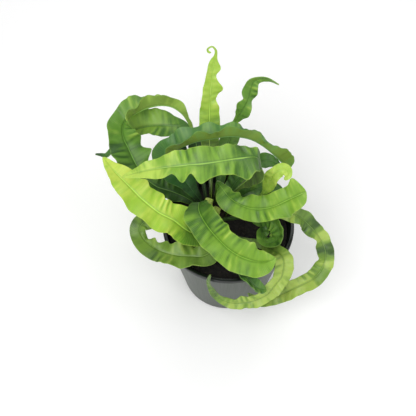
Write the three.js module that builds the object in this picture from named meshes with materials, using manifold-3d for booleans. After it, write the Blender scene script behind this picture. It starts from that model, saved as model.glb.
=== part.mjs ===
// A bird's-nest fern with curled, wavy fronds in a plastic nursery pot.
// Millimetres, +Z up. The origin is the middle of the pot's underside.
import * as THREE from 'three';
import { mergeVertices } from 'three/addons/utils/BufferGeometryUtils.js';
import Module from 'manifold-3d';

const wasm = await Module();
wasm.setup();

// Pot: a 6-inch nursery pot with a thin tapered wall and a rolled rim.
const POT_HEIGHT = 114;
const POT_RIM_RADIUS = 76;
const POT_BASE_RADIUS = 53;
const POT_WALL = 1.6;
const POT_FLOOR = 2.4;
const RIM_LIP_DEPTH = 5;
const RIM_LIP_OVERHANG = 2.4;
const LIP_ROUNDING = 0.7;
const BASE_ROUNDING = 3;
const POT_SIDES = 72;
const DRAIN_HOLES = 8;
const DRAIN_HOLE_RADIUS = 4.5;
const DRAIN_HOLE_SIDES = 16;
const DRAIN_CIRCLE_RADIUS = 40;

// Soil: fills the pot to a little under the rim, with a low mound in the middle.
const SOIL_LEVEL = 101;
const SOIL_MOUND = 3;
const SOIL_SIDES = 48;
const MOUND_SHOULDER = { radius: 0.6, height: 0.7 };

// Crown: the scaly rootstock, a low dome on a short root that is sunk in the soil.
const CROWN_X = -18;
const CROWN_Y = 22;
const CROWN_RADIUS = 19;
const CROWN_TOP = 116;
const CROWN_FOOT = 88;
const CROWN_SIDES = 30;
const CROWN_DOME_STEPS = 5;
// The pockets for the stalks are cut until this far above the dome.
const CROWN_CLEAR = 3;

// Room left between two pieces that meet.
const GAP = 0.35;
// Corners nearer than this are one corner.
const SAME_CORNER = 1e-4;

// Stalks: the bare foot of each frond stands in a pocket of the crown.
const STALK_FOOT = 94;
const STALK_RISE = 105;
const STALK_HALF_WIDTH = 2.3;
const STALK_THICKNESS = 2.4;
const STALK_EDGE_THICKNESS = 1.2;

// Blades: a wave of the margin takes four steps along the blade, and grows from the midrib out.
const WAVE_LENGTH = 29;
const STEP_LENGTH = WAVE_LENGTH / 4;
const WAVE_GROWTH = 1.5;
// Where the wave of each margin begins, in radians.
const WAVE_START = { left: 0.4, right: 2.2 };
const MIDRIB_THICKNESS = 2.0;
const MARGIN_THICKNESS = 1.0;
const ACROSS = [-1, -0.5, 0, 0.5, 1];
// A blade opens out of its stalk over this share of the frond's length.
const OPENING = 0.2;
const LOBE_RADIUS = 6;
const PATH_SAMPLES = 240;
// A usual blade, in shares of the frond's length: it widens over rise, it narrows from taper on,
// the more bluntly the higher point is, to a tip of this half-width in millimetres.
const USUAL_BLADE = { rise: 0.28, taper: 0.55, point: 2, tip: 1.2, lobes: [] };

const GREEN = {
  bright: 0x5f9a34,
  lime: 0x86b544,
  yellow: 0xa3bd4e,
  mid: 0x4a8236,
  dark: 0x2f5f30,
  olive: 0x7a8c3c,
  bud: 0xc3c877,
};

// Rings of stalks on the crown: how far each stands from the crown's middle.
const RING = { inner: 5.5, middle: 10, outer: 15.5 };

// Every frond leaves the crown at a ring and a bearing (degrees, 0 along +X, 90 along +Y).
// path: the midrib's way from there, in millimetres.
// twist: how far the blade has turned about its midrib, in degrees, spread evenly from foot to tip.
// fold: how steeply each half of the blade rises from the midrib, in degrees, spread alike.
// halfWidth: of the blade where it is widest. wave: how high its margins wave.
// bare: the share of the frond's length that is stalk.
// lobes: bulges of a margin, each a share of the length, a side (-1 or 1) and a size.
const FRONDS = [
  {
    name: 'frond_upright', green: 'yellow', ring: 'middle', bearing: 100,
    path: [[-20, 31, 138], [-21, 54, 155], [-22, 81, 176], [-22, 93, 192], [-21, 107, 215],
      [-19, 119, 235], [-17, 127, 248], [-15, 130, 255], [-15, 131, 261], [-19, 131, 266],
      [-24, 130, 263], [-23, 129, 260], [-20, 129, 259]],
    twist: [0],
    fold: 12, taper: 0.48, point: 1.2, halfWidth: 13.5, bare: 0.25, wave: 2.5,
    lobes: [[0.66, 1, -3], [0.72, 1, 5], [0.78, 1, -2.5], [0.82, 1, 3.5], [0.88, -1, -2.4],
      [0.88, 1, -2.4], [0.92, -1, -2], [0.92, 1, -2], [0.955, -1, -1.3], [0.955, 1, -1.3]],
  },
  {
    name: 'frond_corkscrew', green: 'mid', ring: 'middle', bearing: 55,
    path: [[-8, 50, 140], [0, 81, 158], [5, 93, 167], [9, 103, 175], [17, 105, 195],
      [22, 110, 205], [25, 115, 218], [28, 117, 227], [37, 117, 231], [46, 116, 230],
      [56, 116, 222]],
    twist: [0, 0, 30, 30, 33, 55, 90],
    fold: [12, 12, 12, 14, 20, 20, 20, 20, 15, 15, 15],
    taper: 0.74, point: 1, halfWidth: 11, bare: 0.1, wave: 1,
    lobes: [[0.56, -1, -7], [0.56, 1, -7], [0.605, -1, -6], [0.605, 1, -4], [0.65, -1, -3],
      [0.725, -1, -5], [0.73, 1, -6]],
  },
  {
    name: 'frond_left_ring', green: 'mid', ring: 'outer', bearing: 165,
    path: [[-46, 30, 119], [-64, 35, 127], [-83, 37, 135], [-98, 47, 142], [-110, 64, 151],
      [-116, 76, 157], [-121, 84, 163], [-123, 91, 169], [-122, 98, 174], [-116, 104, 179],
      [-107, 107, 184], [-95, 111, 188], [-79, 114, 190], [-65, 114, 187], [-53, 109, 180],
      [-46, 102, 172], [-41, 96, 163]],
    twist: [0, 0, 0, 0, 0, 0, -12, -20, -26, -32, -45, -65, -100, -125, -132, -135, -130, -120,
      -110],
    fold: [20, 20, 25, 35, 45, 45, 40],
    rise: 0.25, taper: 0.62, point: 1.7, halfWidth: 19, bare: 0.03, wave: 4,
    lobes: [[0.38, -1, 5], [0.43, -1, 6], [0.465, -1, 6], [0.495, -1, 6], [0.525, -1, 4],
      [0.55, -1, 1], [0.7, -1, 1], [0.725, -1, 6], [0.75, -1, 3], [0.4, 1, -4], [0.44, 1, 4],
      [0.485, 1, -3], [0.515, 1, 3], [0.55, 1, 1], [0.77, 1, -3], [0.81, 1, 3]],
  },
  {
    name: 'frond_left_back', green: 'dark', ring: 'outer', bearing: 118,
    path: [[-32, 63, 133], [-37, 86, 146], [-43, 105, 154], [-52, 110, 158], [-66, 108, 160],
      [-80, 108, 160], [-98, 109, 156], [-119, 108, 146], [-132, 106, 132], [-140, 103, 120],
      [-148, 100, 112], [-156, 103, 110], [-163, 105, 109]],
    twist: [0],
    fold: 30, rise: 0.16, taper: 0.58, point: 0.85, halfWidth: 19, bare: 0.41, wave: 2.5,
    lobes: [[0.33, 1, 8], [0.33, -1, 8], [0.6, 1, 1], [0.625, 1, 3], [0.65, 1, 5], [0.675, 1, 5],
      [0.7, 1, 4]],
  },
  {
    name: 'frond_left_lime', green: 'lime', ring: 'middle', bearing: 200,
    path: [[-36, -6, 122], [-42, -24, 133], [-49, -25, 141], [-62, -18, 149], [-77, -13, 156],
      [-95, -2, 165], [-113, 13, 175], [-128, 25, 185], [-139, 37, 192]],
    twist: [0, 0, 20, 10, 0, -15, -20, -20, -20, -20, -20],
    fold: 14, taper: 0.62, halfWidth: 22, bare: 0.08, wave: 3.5,
    lobes: [[0.5, 1, -4], [0.57, 1, -7], [0.64, 1, -2], [0.7, 1, -6], [0.78, 1, -3]],
  },
  {
    name: 'frond_top_arch', green: 'olive', ring: 'middle', bearing: 148,
    path: [[-44, 37, 132], [-61, 54, 150], [-66, 59, 168], [-54, 58, 182], [-39, 58, 192],
      [-21, 58, 198], [2, 61, 199], [24, 65, 189], [38, 64, 179], [48, 60, 172], [58, 54, 165],
      [69, 46, 158]],
    twist: [0, 0, 0, -60, -100, -147, -160, -165, -171, -181, -180, -180, -178, -176],
    fold: [20, 30, 50, 54, 54, 50],
    taper: 0.38, point: 1.2, tip: 8, halfWidth: 20, bare: 0.05, wave: 3,
    lobes: [[0.43, 1, 4], [0.77, 1, -3], [0.82, 1, -4], [0.86, 1, -5], [0.89, 1, -1],
      [0.93, 1, 7], [0.96, 1, 6.5], [0.99, 1, 4]],
  },
  {
    name: 'frond_front_broad', green: 'bright', ring: 'middle', bearing: 245,
    path: [[-30, 7, 130], [-33, 6, 148], [-33, -12, 157], [-24, -31, 157], [-13, -44, 153],
      [0, -56, 149], [13, -62, 144], [26, -65, 141], [38, -66, 141], [50, -63, 143]],
    twist: [0, 10, 22, 35, 45, 50, 53, 53, 50, 47, 47],
    fold: [15, 20, 28, 32, 32, 32, 25],
    rise: 0.26, taper: 0.8, point: 3, halfWidth: 20, bare: 0.22, wave: 4,
    lobes: [[0.54, -1, 1], [0.61, -1, 3], [0.69, -1, 1], [0.76, -1, 4], [0.82, -1, 6],
      [0.89, -1, -3]],
  },
  {
    name: 'frond_over_crown', green: 'bright', ring: 'inner', bearing: 350,
    path: [[6, 19, 150], [21, 14, 182], [31, 14, 205], [28, 14, 221], [10, 8, 228],
      [-21, 1, 229], [-54, -1, 226], [-84, 0, 218], [-114, 0, 206]],
    twist: [190],
    fold: 12, rise: 0.2, taper: 0.72, point: 1.4, halfWidth: 18.5, bare: 0.24, wave: 2.8,
    lobes: [[0.41, 1, -6], [0.44, 1, -7], [0.47, 1, -8], [0.5, 1, -8], [0.53, 1, -4],
      [0.57, 1, -4], [0.61, 1, -3], [0.43, -1, -5], [0.46, -1, -4], [0.55, -1, 9],
      [0.65, -1, -2], [0.705, -1, 6], [0.735, -1, -8.5], [0.765, -1, 4], [0.8, -1, -7]],
  },
  {
    name: 'frond_right_cradle', green: 'bright', ring: 'inner', bearing: 80,
    path: [[-13, 28, 140], [-12, 27, 158], [-8, 15, 165], [2, 3, 161], [18, -5, 156],
      [34, -7, 155], [49, -5, 157], [62, -1, 162], [73, 1, 168], [84, 4, 173]],
    twist: [20, 20, 10, -40, -110, -125, -132, -132, -132, -130, -128, -125],
    fold: 22, rise: 0.16, taper: 0.84, point: 4, tip: 6, halfWidth: 16, bare: 0.36, wave: 4,
    lobes: [[0.44, -1, -3], [0.5, -1, -8], [0.57, -1, -7], [0.965, -1, 9], [0.85, 1, 4]],
  },
  {
    name: 'frond_young_hook', green: 'yellow', ring: 'middle', bearing: 357,
    path: [[-5, 21, 119], [6, 20, 129], [20, 17, 139], [32, 14, 146], [39, 14, 156],
      [43, 14, 168], [45, 15, 181], [49, 15, 192], [55, 16, 197], [61, 16, 196], [63, 12, 191],
      [59, 10, 187]],
    twist: [0, 0, 20, 40, 45, 55, 55, 60, 65, 62, 55, 55, 65, 75],
    fold: 10, rise: 0.16, taper: 0.8, point: 2, halfWidth: 8.2, bare: 0.54, wave: 2.6,
  },
  {
    name: 'frond_right_sweep', green: 'mid', ring: 'outer', bearing: 342,
    path: [[13, 11, 130], [37, 3, 142], [69, -3, 141], [83, -7, 134], [93, -12, 126],
      [103, -21, 117], [110, -32, 108], [110, -40, 100], [106, -49, 92], [98, -56, 85],
      [86, -60, 78], [75, -63, 73], [62, -66, 65], [45, -70, 60], [30, -74, 66], [22, -75, 84]],
    twist: [0, 0, 0, 20, 40, 10, 45, 0, 50, 30, 60, 62, 64, 65, 65, 65, 60, 50],
    fold: 16, taper: 0.8, halfWidth: 10.5, bare: 0.1, wave: 3,
  },
  {
    name: 'frond_front_strap', green: 'mid', ring: 'outer', bearing: 288,
    path: [[-4, -6, 107], [13, -16, 107], [30, -22, 108], [43, -27, 109], [51, -37, 114],
      [57, -46, 121], [60, -54, 123], [60, -62, 118], [58, -68, 111], [52, -73, 103],
      [42, -79, 88], [22, -82, 76], [4, -82, 74], [-10, -80, 82], [-19, -78, 98],
      [-23, -77, 116], [-21, -76, 130]],
    twist: [0, 30, 40, 43, 43, 41, 29, 13, 0, -2, 3, 3, 8, 12, 12, 4, -15, -40, -60],
    fold: 18, taper: 0.45, point: 1.3, halfWidth: 10.5, bare: 0.15, wave: 2.5,
    lobes: [[0.71, 1, 5]],
  },
  {
    name: 'frond_left_coil', green: 'mid', ring: 'outer', bearing: 242,
    path: [[-21, 2, 115], [-16, -18, 120], [-18, -40, 123], [-29, -50, 125], [-43, -50, 125],
      [-60, -49, 126], [-76, -44, 127], [-88, -37, 128], [-96, -29, 130], [-100, -20, 134],
      [-96, -14, 138], [-88, -14, 140], [-78, -13, 136], [-67, -16, 132], [-57, -19, 127]],
    twist: [0, 10, 30, 40, 40, 38, 30, 22, 20, 20, 20, 20, 20],
    fold: 16, taper: 0.5, halfWidth: 16, bare: 0.15, wave: 4,
    lobes: [[0.43, 1, -4], [0.495, 1, -4], [0.56, 1, -5], [0.63, 1, -8], [0.69, 1, -9],
      [0.73, 1, -6], [0.77, 1, -3]],
  },
  {
    name: 'frond_back_right', green: 'dark', ring: 'outer', bearing: 38,
    path: [[6, 38, 136], [21, 46, 153], [36, 50, 166], [49, 51, 166], [62, 48, 154]],
    twist: [0],
    fold: 14, halfWidth: 12, bare: 0.15, wave: 3,
    lobes: [[0.64, 1, -5], [0.64, -1, -5], [0.69, 1, -6], [0.69, -1, -6]],
  },
  {
    name: 'frond_back_left', green: 'dark', ring: 'outer', bearing: 140,
    path: [[-39, 51, 123], [-49, 69, 138], [-56, 83, 149], [-64, 91, 154]],
    twist: [0],
    fold: 14, halfWidth: 10, bare: 0.3, wave: 3,
  },
  {
    name: 'frond_inner_right', green: 'dark', ring: 'outer', bearing: 10,
    path: [[8, 27, 120], [22, 31, 131], [36, 32, 139], [51, 31, 142], [66, 25, 136]],
    twist: [0],
    fold: 14, halfWidth: 12, bare: 0.1, wave: 3,
  },
  {
    name: 'frond_curled_end', green: 'mid', ring: 'outer', bearing: 314,
    path: [[3, 8, 113], [25, 7, 120], [39, -2, 127], [49, -5, 128], [56, -13, 127],
      [57, -23, 124], [50, -30, 121], [42, -28, 119], [38, -20, 117], [40, -12, 115],
      [47, -12, 113]],
    twist: [0, 60, 90, 100, 105, 105, 100, 90, 85, 90, 115, 145, 170],
    fold: 16, taper: 0.8, point: 2, tip: 4, halfWidth: 11.5, bare: 0.2, wave: 1.5,
  },
  {
    name: 'frond_under_front', green: 'dark', ring: 'outer', bearing: 262,
    path: [[-11, -14, 108], [-2, -38, 110], [13, -60, 118], [20, -75, 120], [29, -82, 113],
      [41, -83, 107]],
    twist: [0],
    fold: 16, taper: 0.8, tip: 3, halfWidth: 11, bare: 0.1, wave: 2.5,
  },
];

// Croziers: young fronds, still rolled at the top. top: how high the stem stands,
// coil: the roll's outer radius, lean: the bearing that it rolls towards.
const CROZIERS = [
  { name: 'crozier_tall', ring: 'inner', bearing: 235, top: 138, coil: 5, lean: 250 },
  { name: 'crozier_short', ring: 'middle', bearing: 308, top: 125, coil: 4.2, lean: 240 },
];
const CROZIER_STEM_HALF_WIDTH = 2;
const CROZIER_HALF_WIDTH = 4.4;
// The stem widens into the roll over these shares of its length.
const CROZIER_WIDENING = { from: 0.4, to: 0.75 };
const CROZIER_THICKNESS = 2.4;
const CROZIER_TAPER = 0.35;
const CROZIER_ROUNDING = 0.5;
const CROZIER_TURNS = 1.1;
const CROZIER_PITCH = 3.2;
const CROZIER_STEP = 2;
// Points of the stem's way in each turn of the roll.
const TURN_POINTS = 8;

// Colour and roughness of the pieces that aren't green.
const FINISH = {
  pot: [0x5d6663, 0.5],
  potting_mix: [0x1c1714, 0.95],
  crown: [0x3a2e20, 0.9],
};
const LEAF_ROUGHNESS = 0.45;

const radians = (degrees) => THREE.MathUtils.degToRad(degrees);
const smooth = (from, to, value) => THREE.MathUtils.smoothstep(value, from, to);
const mix = THREE.MathUtils.lerp;

// Value of a short list, spread evenly over 0 to 1 and joined by smooth steps.
function along(list, place) {
  if (list.length === 1) return list[0];
  const at = place * (list.length - 1);
  const index = Math.min(Math.floor(at), list.length - 2);
  return mix(list[index], list[index + 1], smooth(0, 1, at - index));
}

// Point of the crown where a stalk stands, and the way that its upper face looks there.
function seat(ring, bearing) {
  const angle = radians(bearing);
  const outward = new THREE.Vector3(Math.cos(angle), Math.sin(angle), 0);
  const foot = new THREE.Vector3(CROWN_X, CROWN_Y, STALK_FOOT);
  foot.addScaledVector(outward, RING[ring]);
  return { foot, faces: outward.negate() };
}

// Midrib with a frame that is carried along it without turning, read at even steps.
function midrib(points, faces, step) {
  const curve = new THREE.CatmullRomCurve3(points, false, 'centripetal');
  const places = [];
  for (let i = 0; i <= PATH_SAMPLES; i += 1) places.push(curve.getPoint(i / PATH_SAMPLES));
  const lengths = [0];
  for (let i = 1; i <= PATH_SAMPLES; i += 1) {
    lengths.push(lengths[i - 1] + places[i].distanceTo(places[i - 1]));
  }
  const frames = [];
  const carried = faces.clone();
  for (let i = 0; i <= PATH_SAMPLES; i += 1) {
    const before = places[Math.max(i - 1, 0)];
    const after = places[Math.min(i + 1, PATH_SAMPLES)];
    const tangent = after.clone().sub(before).normalize();
    carried.addScaledVector(tangent, -carried.dot(tangent)).normalize();
    frames.push({ tangent, up: carried.clone() });
  }
  const length = lengths[PATH_SAMPLES];
  const count = Math.round(length / step);
  const stations = [];
  let i = 0;
  for (let k = 0; k <= count; k += 1) {
    const distance = (length * k) / count;
    while (i < PATH_SAMPLES - 1 && lengths[i + 1] < distance) i += 1;
    const part = (distance - lengths[i]) / (lengths[i + 1] - lengths[i]);
    const place = places[i].clone().lerp(places[i + 1], part);
    const tangent = frames[i].tangent.clone().lerp(frames[i + 1].tangent, part).normalize();
    const up = frames[i].up.clone().lerp(frames[i + 1].up, part);
    up.addScaledVector(tangent, -up.dot(tangent)).normalize();
    const pathShare = (i + part) / PATH_SAMPLES;
    stations.push({ distance, length, share: k / count, pathShare, place, tangent, up });
  }
  return stations;
}

// Half-width of a frond: a narrow stalk, widening to the blade, then a pointed tip.
function halfWidthAt(frond, share) {
  const { halfWidth, bare, rise, taper, point, tip } = frond;
  const widened = mix(STALK_HALF_WIDTH, halfWidth, smooth(bare, bare + rise, share));
  const beyond = Math.max(0, (share - taper) / (1 - taper));
  return mix(tip, widened, 1 - beyond ** point);
}

// How far a margin (u below or above 0) bulges out at a share of the frond's length.
function bulge(frond, u, share, length) {
  return frond.lobes.reduce((sum, [at, edge, size]) => {
    const away = ((share - at) * length) / LOBE_RADIUS;
    return sum + (edge * u > 0 ? size * Math.exp(-away * away) : 0);
  }, 0);
}

// Rows of points across the middle of a frond's blade, with its thickness at each point.
function bladeRows(frond) {
  const { foot, faces } = seat(frond.ring, frond.bearing);
  const rise = foot.clone().setZ(STALK_RISE);
  const points = [foot, rise, ...frond.path.map(([x, y, z]) => new THREE.Vector3(x, y, z))];
  return midrib(points, faces, STEP_LENGTH).map((station) => {
    const { distance, length, share, pathShare, place, tangent, up } = station;
    const turn = radians(along(frond.twist, pathShare));
    const raised = up.clone().applyAxisAngle(tangent, turn);
    const side = tangent.clone().cross(raised);
    const half = halfWidthAt(frond, share);
    const leafy = smooth(frond.bare, frond.bare + OPENING, share);
    const slope = radians(along([frond.fold].flat(), pathShare)) * leafy;
    const height = (frond.wave * leafy * half) / frond.halfWidth;
    return ACROSS.map((u) => {
      const out = Math.abs(u);
      const start = u < 0 ? WAVE_START.left : WAVE_START.right;
      const phase = (2 * Math.PI * distance) / WAVE_LENGTH + start;
      const ripple = height * out ** WAVE_GROWTH * Math.sin(phase);
      const reach = out * (half + bulge(frond, u, share, length));
      const point = place.clone();
      point.addScaledVector(side, Math.sign(u) * reach * Math.cos(slope));
      point.addScaledVector(raised, reach * Math.sin(slope) + ripple);
      const blade = mix(MIDRIB_THICKNESS, MARGIN_THICKNESS, Math.sqrt(out));
      const stalk = mix(STALK_THICKNESS, STALK_EDGE_THICKNESS, out);
      return { point, thickness: mix(stalk, blade, leafy) };
    });
  });
}

// Closed solid about rows of points: two faces, each half a thickness from the middle.
function ribbon(rows) {
  const columns = rows[0].length;
  const at = (k, j) => rows[THREE.MathUtils.clamp(k, 0, rows.length - 1)][
    THREE.MathUtils.clamp(j, 0, columns - 1)].point;
  const positions = [];
  rows.forEach((row, k) => {
    const faces = [1, -1].map((side) => row.map(({ point, thickness }, j) => {
      const ahead = at(k + 1, j).clone().sub(at(k - 1, j));
      const across = at(k, j + 1).clone().sub(at(k, j - 1));
      const normal = across.cross(ahead).normalize();
      return point.clone().addScaledVector(normal, (side * thickness) / 2);
    }));
    for (const point of [...faces[0], ...faces[1]]) positions.push(point.x, point.y, point.z);
  });
  const ring = 2 * columns;
  const top = (k, j) => k * ring + j;
  const bottom = (k, j) => k * ring + columns + j;
  const indices = [];
  for (let k = 0; k < rows.length - 1; k += 1) {
    for (let j = 0; j < columns - 1; j += 1) {
      indices.push(top(k, j), top(k, j + 1), top(k + 1, j + 1));
      indices.push(top(k, j), top(k + 1, j + 1), top(k + 1, j));
      indices.push(bottom(k, j), bottom(k + 1, j + 1), bottom(k, j + 1));
      indices.push(bottom(k, j), bottom(k + 1, j), bottom(k + 1, j + 1));
    }
    const last = columns - 1;
    indices.push(top(k, 0), top(k + 1, 0), bottom(k + 1, 0));
    indices.push(top(k, 0), bottom(k + 1, 0), bottom(k, 0));
    indices.push(top(k, last), bottom(k, last), bottom(k + 1, last));
    indices.push(top(k, last), bottom(k + 1, last), top(k + 1, last));
  }
  const end = rows.length - 1;
  for (let j = 0; j < columns - 1; j += 1) {
    indices.push(top(0, j), bottom(0, j + 1), top(0, j + 1));
    indices.push(top(0, j), bottom(0, j), bottom(0, j + 1));
    indices.push(top(end, j), top(end, j + 1), bottom(end, j + 1));
    indices.push(top(end, j), bottom(end, j + 1), bottom(end, j));
  }
  const geometry = new THREE.BufferGeometry();
  geometry.setAttribute('position', new THREE.Float32BufferAttribute(positions, 3));
  geometry.setIndex(indices);
  return geometry;
}

// Crozier: a stem that rises and rolls up at its top, each turn inside the last.
function crozierRows(crozier) {
  const { foot } = seat(crozier.ring, crozier.bearing);
  const lean = radians(crozier.lean);
  const towards = new THREE.Vector3(Math.cos(lean), Math.sin(lean), 0);
  const points = [foot, foot.clone().setZ(STALK_RISE), foot.clone().setZ(crozier.top)];
  const middle = points[2].clone().addScaledVector(towards, crozier.coil);
  const count = Math.round(CROZIER_TURNS * TURN_POINTS);
  for (let i = 1; i <= count; i += 1) {
    const angle = (2 * Math.PI * i) / TURN_POINTS;
    const radius = crozier.coil - (CROZIER_PITCH * i) / TURN_POINTS;
    const point = middle.clone().addScaledVector(towards, -radius * Math.cos(angle));
    point.z += radius * Math.sin(angle);
    points.push(point);
  }
  return midrib(points, towards, CROZIER_STEP).map(({ share, place, tangent, up }) => {
    const side = tangent.clone().cross(up);
    const taper = 1 - CROZIER_TAPER * share;
    const widened = smooth(CROZIER_WIDENING.from, CROZIER_WIDENING.to, share);
    const half = mix(CROZIER_STEM_HALF_WIDTH, CROZIER_HALF_WIDTH, widened);
    return ACROSS.map((u) => {
      const point = place.clone().addScaledVector(side, u * half);
      const rounding = 1 - CROZIER_ROUNDING * u * u;
      return { point, thickness: CROZIER_THICKNESS * taper * rounding };
    });
  });
}

// Rows of the room that a stalk needs where it passes through the crown.
function pocketRows(rows) {
  const centre = Math.floor(ACROSS.length / 2);
  const clear = rows.findIndex((row) => row[centre].point.z > CROWN_TOP + CROWN_CLEAR);
  return rows.slice(0, clear + 1).map((row, k) => row.map(({ point, thickness }, j) => {
    const outward = point.clone().sub(row[centre].point).setLength(GAP * Math.abs(ACROSS[j]));
    const moved = point.clone().add(outward);
    if (k === 0) moved.z -= GAP;
    return { point: moved, thickness: thickness + 2 * GAP };
  }));
}

// Solid of a closed geometry, for cutting.
function solid(geometry) {
  const bare = geometry.clone();
  bare.deleteAttribute('normal');
  bare.deleteAttribute('uv');
  const merged = mergeVertices(bare, SAME_CORNER);
  const vertProperties = new Float32Array(merged.attributes.position.array);
  const triVerts = new Uint32Array(merged.index.array);
  return new wasm.Manifold(new wasm.Mesh({ numProp: 3, vertProperties, triVerts }));
}

// Geometry of a cut solid.
function geometryOf(manifold) {
  const { vertProperties, triVerts } = manifold.getMesh();
  const geometry = new THREE.BufferGeometry();
  geometry.setAttribute('position', new THREE.BufferAttribute(vertProperties, 3));
  geometry.setIndex(new THREE.BufferAttribute(triVerts, 1));
  return geometry;
}

// Body turned about the Z axis from a profile of radius and height.
function turned(profile, sides) {
  const outline = profile.map(([radius, height]) => new THREE.Vector2(radius, height));
  return new THREE.LatheGeometry(outline, sides).rotateX(Math.PI / 2);
}

// Upright round rod from one height to another.
function rod(radius, from, to, x, y, sides) {
  const geometry = new THREE.CylinderGeometry(radius, radius, to - from, sides);
  return geometry.rotateX(Math.PI / 2).translate(x, y, (from + to) / 2);
}

// Outer wall of the pot at a height, under its lip.
const wallRadius = (height) => (
  mix(POT_BASE_RADIUS, POT_RIM_RADIUS - RIM_LIP_OVERHANG, height / POT_HEIGHT)
);

function potGeometry() {
  const lipFoot = POT_HEIGHT - RIM_LIP_DEPTH;
  const inner = (height) => wallRadius(height) - POT_WALL;
  const body = turned([
    [0, 0],
    [POT_BASE_RADIUS - BASE_ROUNDING, 0],
    [wallRadius(BASE_ROUNDING), BASE_ROUNDING],
    [wallRadius(lipFoot), lipFoot],
    [POT_RIM_RADIUS - LIP_ROUNDING, lipFoot],
    [POT_RIM_RADIUS, lipFoot + LIP_ROUNDING],
    [POT_RIM_RADIUS, POT_HEIGHT - LIP_ROUNDING],
    [POT_RIM_RADIUS - LIP_ROUNDING, POT_HEIGHT],
    [inner(POT_HEIGHT) + LIP_ROUNDING, POT_HEIGHT],
    [inner(POT_HEIGHT), POT_HEIGHT - LIP_ROUNDING],
    [inner(POT_FLOOR), POT_FLOOR],
    [0, POT_FLOOR],
  ], POT_SIDES);
  let pot = solid(body);
  for (let i = 0; i < DRAIN_HOLES; i += 1) {
    const angle = (2 * Math.PI * i) / DRAIN_HOLES;
    const x = DRAIN_CIRCLE_RADIUS * Math.cos(angle);
    const y = DRAIN_CIRCLE_RADIUS * Math.sin(angle);
    const hole = rod(DRAIN_HOLE_RADIUS, -POT_FLOOR, 2 * POT_FLOOR, x, y, DRAIN_HOLE_SIDES);
    pot = pot.subtract(solid(hole));
  }
  return geometryOf(pot);
}

function soilGeometry() {
  const foot = POT_FLOOR + GAP;
  const edge = (height) => wallRadius(height) - POT_WALL - 2 * GAP;
  const top = edge(SOIL_LEVEL);
  const body = turned([
    [0, foot],
    [edge(foot), foot],
    [top, SOIL_LEVEL],
    [MOUND_SHOULDER.radius * top, SOIL_LEVEL + MOUND_SHOULDER.height * SOIL_MOUND],
    [0, SOIL_LEVEL + SOIL_MOUND],
  ], SOIL_SIDES);
  const room = rod(CROWN_RADIUS + GAP, CROWN_FOOT - GAP, POT_HEIGHT, CROWN_X, CROWN_Y, CROWN_SIDES);
  return geometryOf(solid(body).subtract(solid(room)));
}

function crownGeometry(stalks) {
  const profile = [[0, CROWN_FOOT], [CROWN_RADIUS, CROWN_FOOT]];
  for (let i = 0; i <= CROWN_DOME_STEPS; i += 1) {
    const angle = (Math.PI * i) / (2 * CROWN_DOME_STEPS);
    const radius = i === CROWN_DOME_STEPS ? 0 : CROWN_RADIUS * Math.cos(angle);
    profile.push([radius, SOIL_LEVEL + (CROWN_TOP - SOIL_LEVEL) * Math.sin(angle)]);
  }
  let crown = solid(turned(profile, CROWN_SIDES).translate(CROWN_X, CROWN_Y, 0));
  for (const rows of stalks) crown = crown.subtract(solid(ribbon(pocketRows(rows))));
  return geometryOf(crown);
}

const plant = new THREE.Group();

function addPiece(name, geometry, color, roughness) {
  const material = new THREE.MeshStandardMaterial({ color, roughness, metalness: 0 });
  const mesh = new THREE.Mesh(geometry, material);
  mesh.name = name;
  plant.add(mesh);
}

const leaves = FRONDS.map((frond) => (
  { ...frond, rows: bladeRows({ ...USUAL_BLADE, ...frond }) }
));
const buds = CROZIERS.map((crozier) => (
  { ...crozier, green: 'bud', rows: crozierRows(crozier) }
));
const growing = [...leaves, ...buds];

addPiece('pot', potGeometry(), ...FINISH.pot);
addPiece('potting_mix', soilGeometry(), ...FINISH.potting_mix);
addPiece('crown', crownGeometry(growing.map(({ rows }) => rows)), ...FINISH.crown);
for (const { name, green, rows } of growing) {
  addPiece(name, ribbon(rows), GREEN[green], LEAF_ROUGHNESS);
}

export default plant;
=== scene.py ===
"""A bird's-nest fern with curled, wavy fronds in a nursery pot, dressed for a soft studio picture.

Sizes in the classes are millimetres, as on the plant. Meshes are written in metres.
"""
import logging
import math
import random
from dataclasses import dataclass, field
from enum import Enum
from typing import Callable, Iterable, Sequence

import bpy
from mathutils import Matrix, Vector, noise


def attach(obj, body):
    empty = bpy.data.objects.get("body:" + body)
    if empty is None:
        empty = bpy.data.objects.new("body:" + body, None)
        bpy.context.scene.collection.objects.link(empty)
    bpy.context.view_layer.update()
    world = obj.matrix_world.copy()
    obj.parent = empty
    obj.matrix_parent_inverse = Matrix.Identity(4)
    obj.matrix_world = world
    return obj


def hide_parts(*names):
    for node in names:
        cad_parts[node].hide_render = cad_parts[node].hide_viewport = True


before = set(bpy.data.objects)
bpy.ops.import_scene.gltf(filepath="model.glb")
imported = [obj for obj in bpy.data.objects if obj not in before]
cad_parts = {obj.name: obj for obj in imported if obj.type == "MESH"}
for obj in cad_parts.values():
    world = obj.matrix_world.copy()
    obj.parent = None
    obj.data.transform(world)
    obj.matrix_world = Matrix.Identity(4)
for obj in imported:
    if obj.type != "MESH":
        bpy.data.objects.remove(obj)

LOG = logging.getLogger("potted_fern")
MM = 0.001
BODY = "root"
# Millimetres of blade to one unit of its UV map.
UV_LENGTH = 100.0
# Corners that are nearer than this, in millimetres, are one corner.
SAME_PLACE = 0.02
# Edges of rough pieces sharper than this, in degrees, stay crisp.
CREASE = 50

Colour = tuple[float, float, float, float]
Profile = list[tuple[float, float]]


def paint(red: int, green: int, blue: int) -> Colour:
    """Screen colour, 0 to 255 a channel, as the linear colour that a shader takes."""
    linear = [
        value / 12.92 if value <= 0.04045 else ((value + 0.055) / 1.055) ** 2.4
        for value in (red / 255, green / 255, blue / 255)
    ]
    return linear[0], linear[1], linear[2], 1.0


def mix(low: float, high: float, share: float) -> float:
    """Value between low and high at a share from 0 to 1."""
    return low + (high - low) * share


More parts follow.
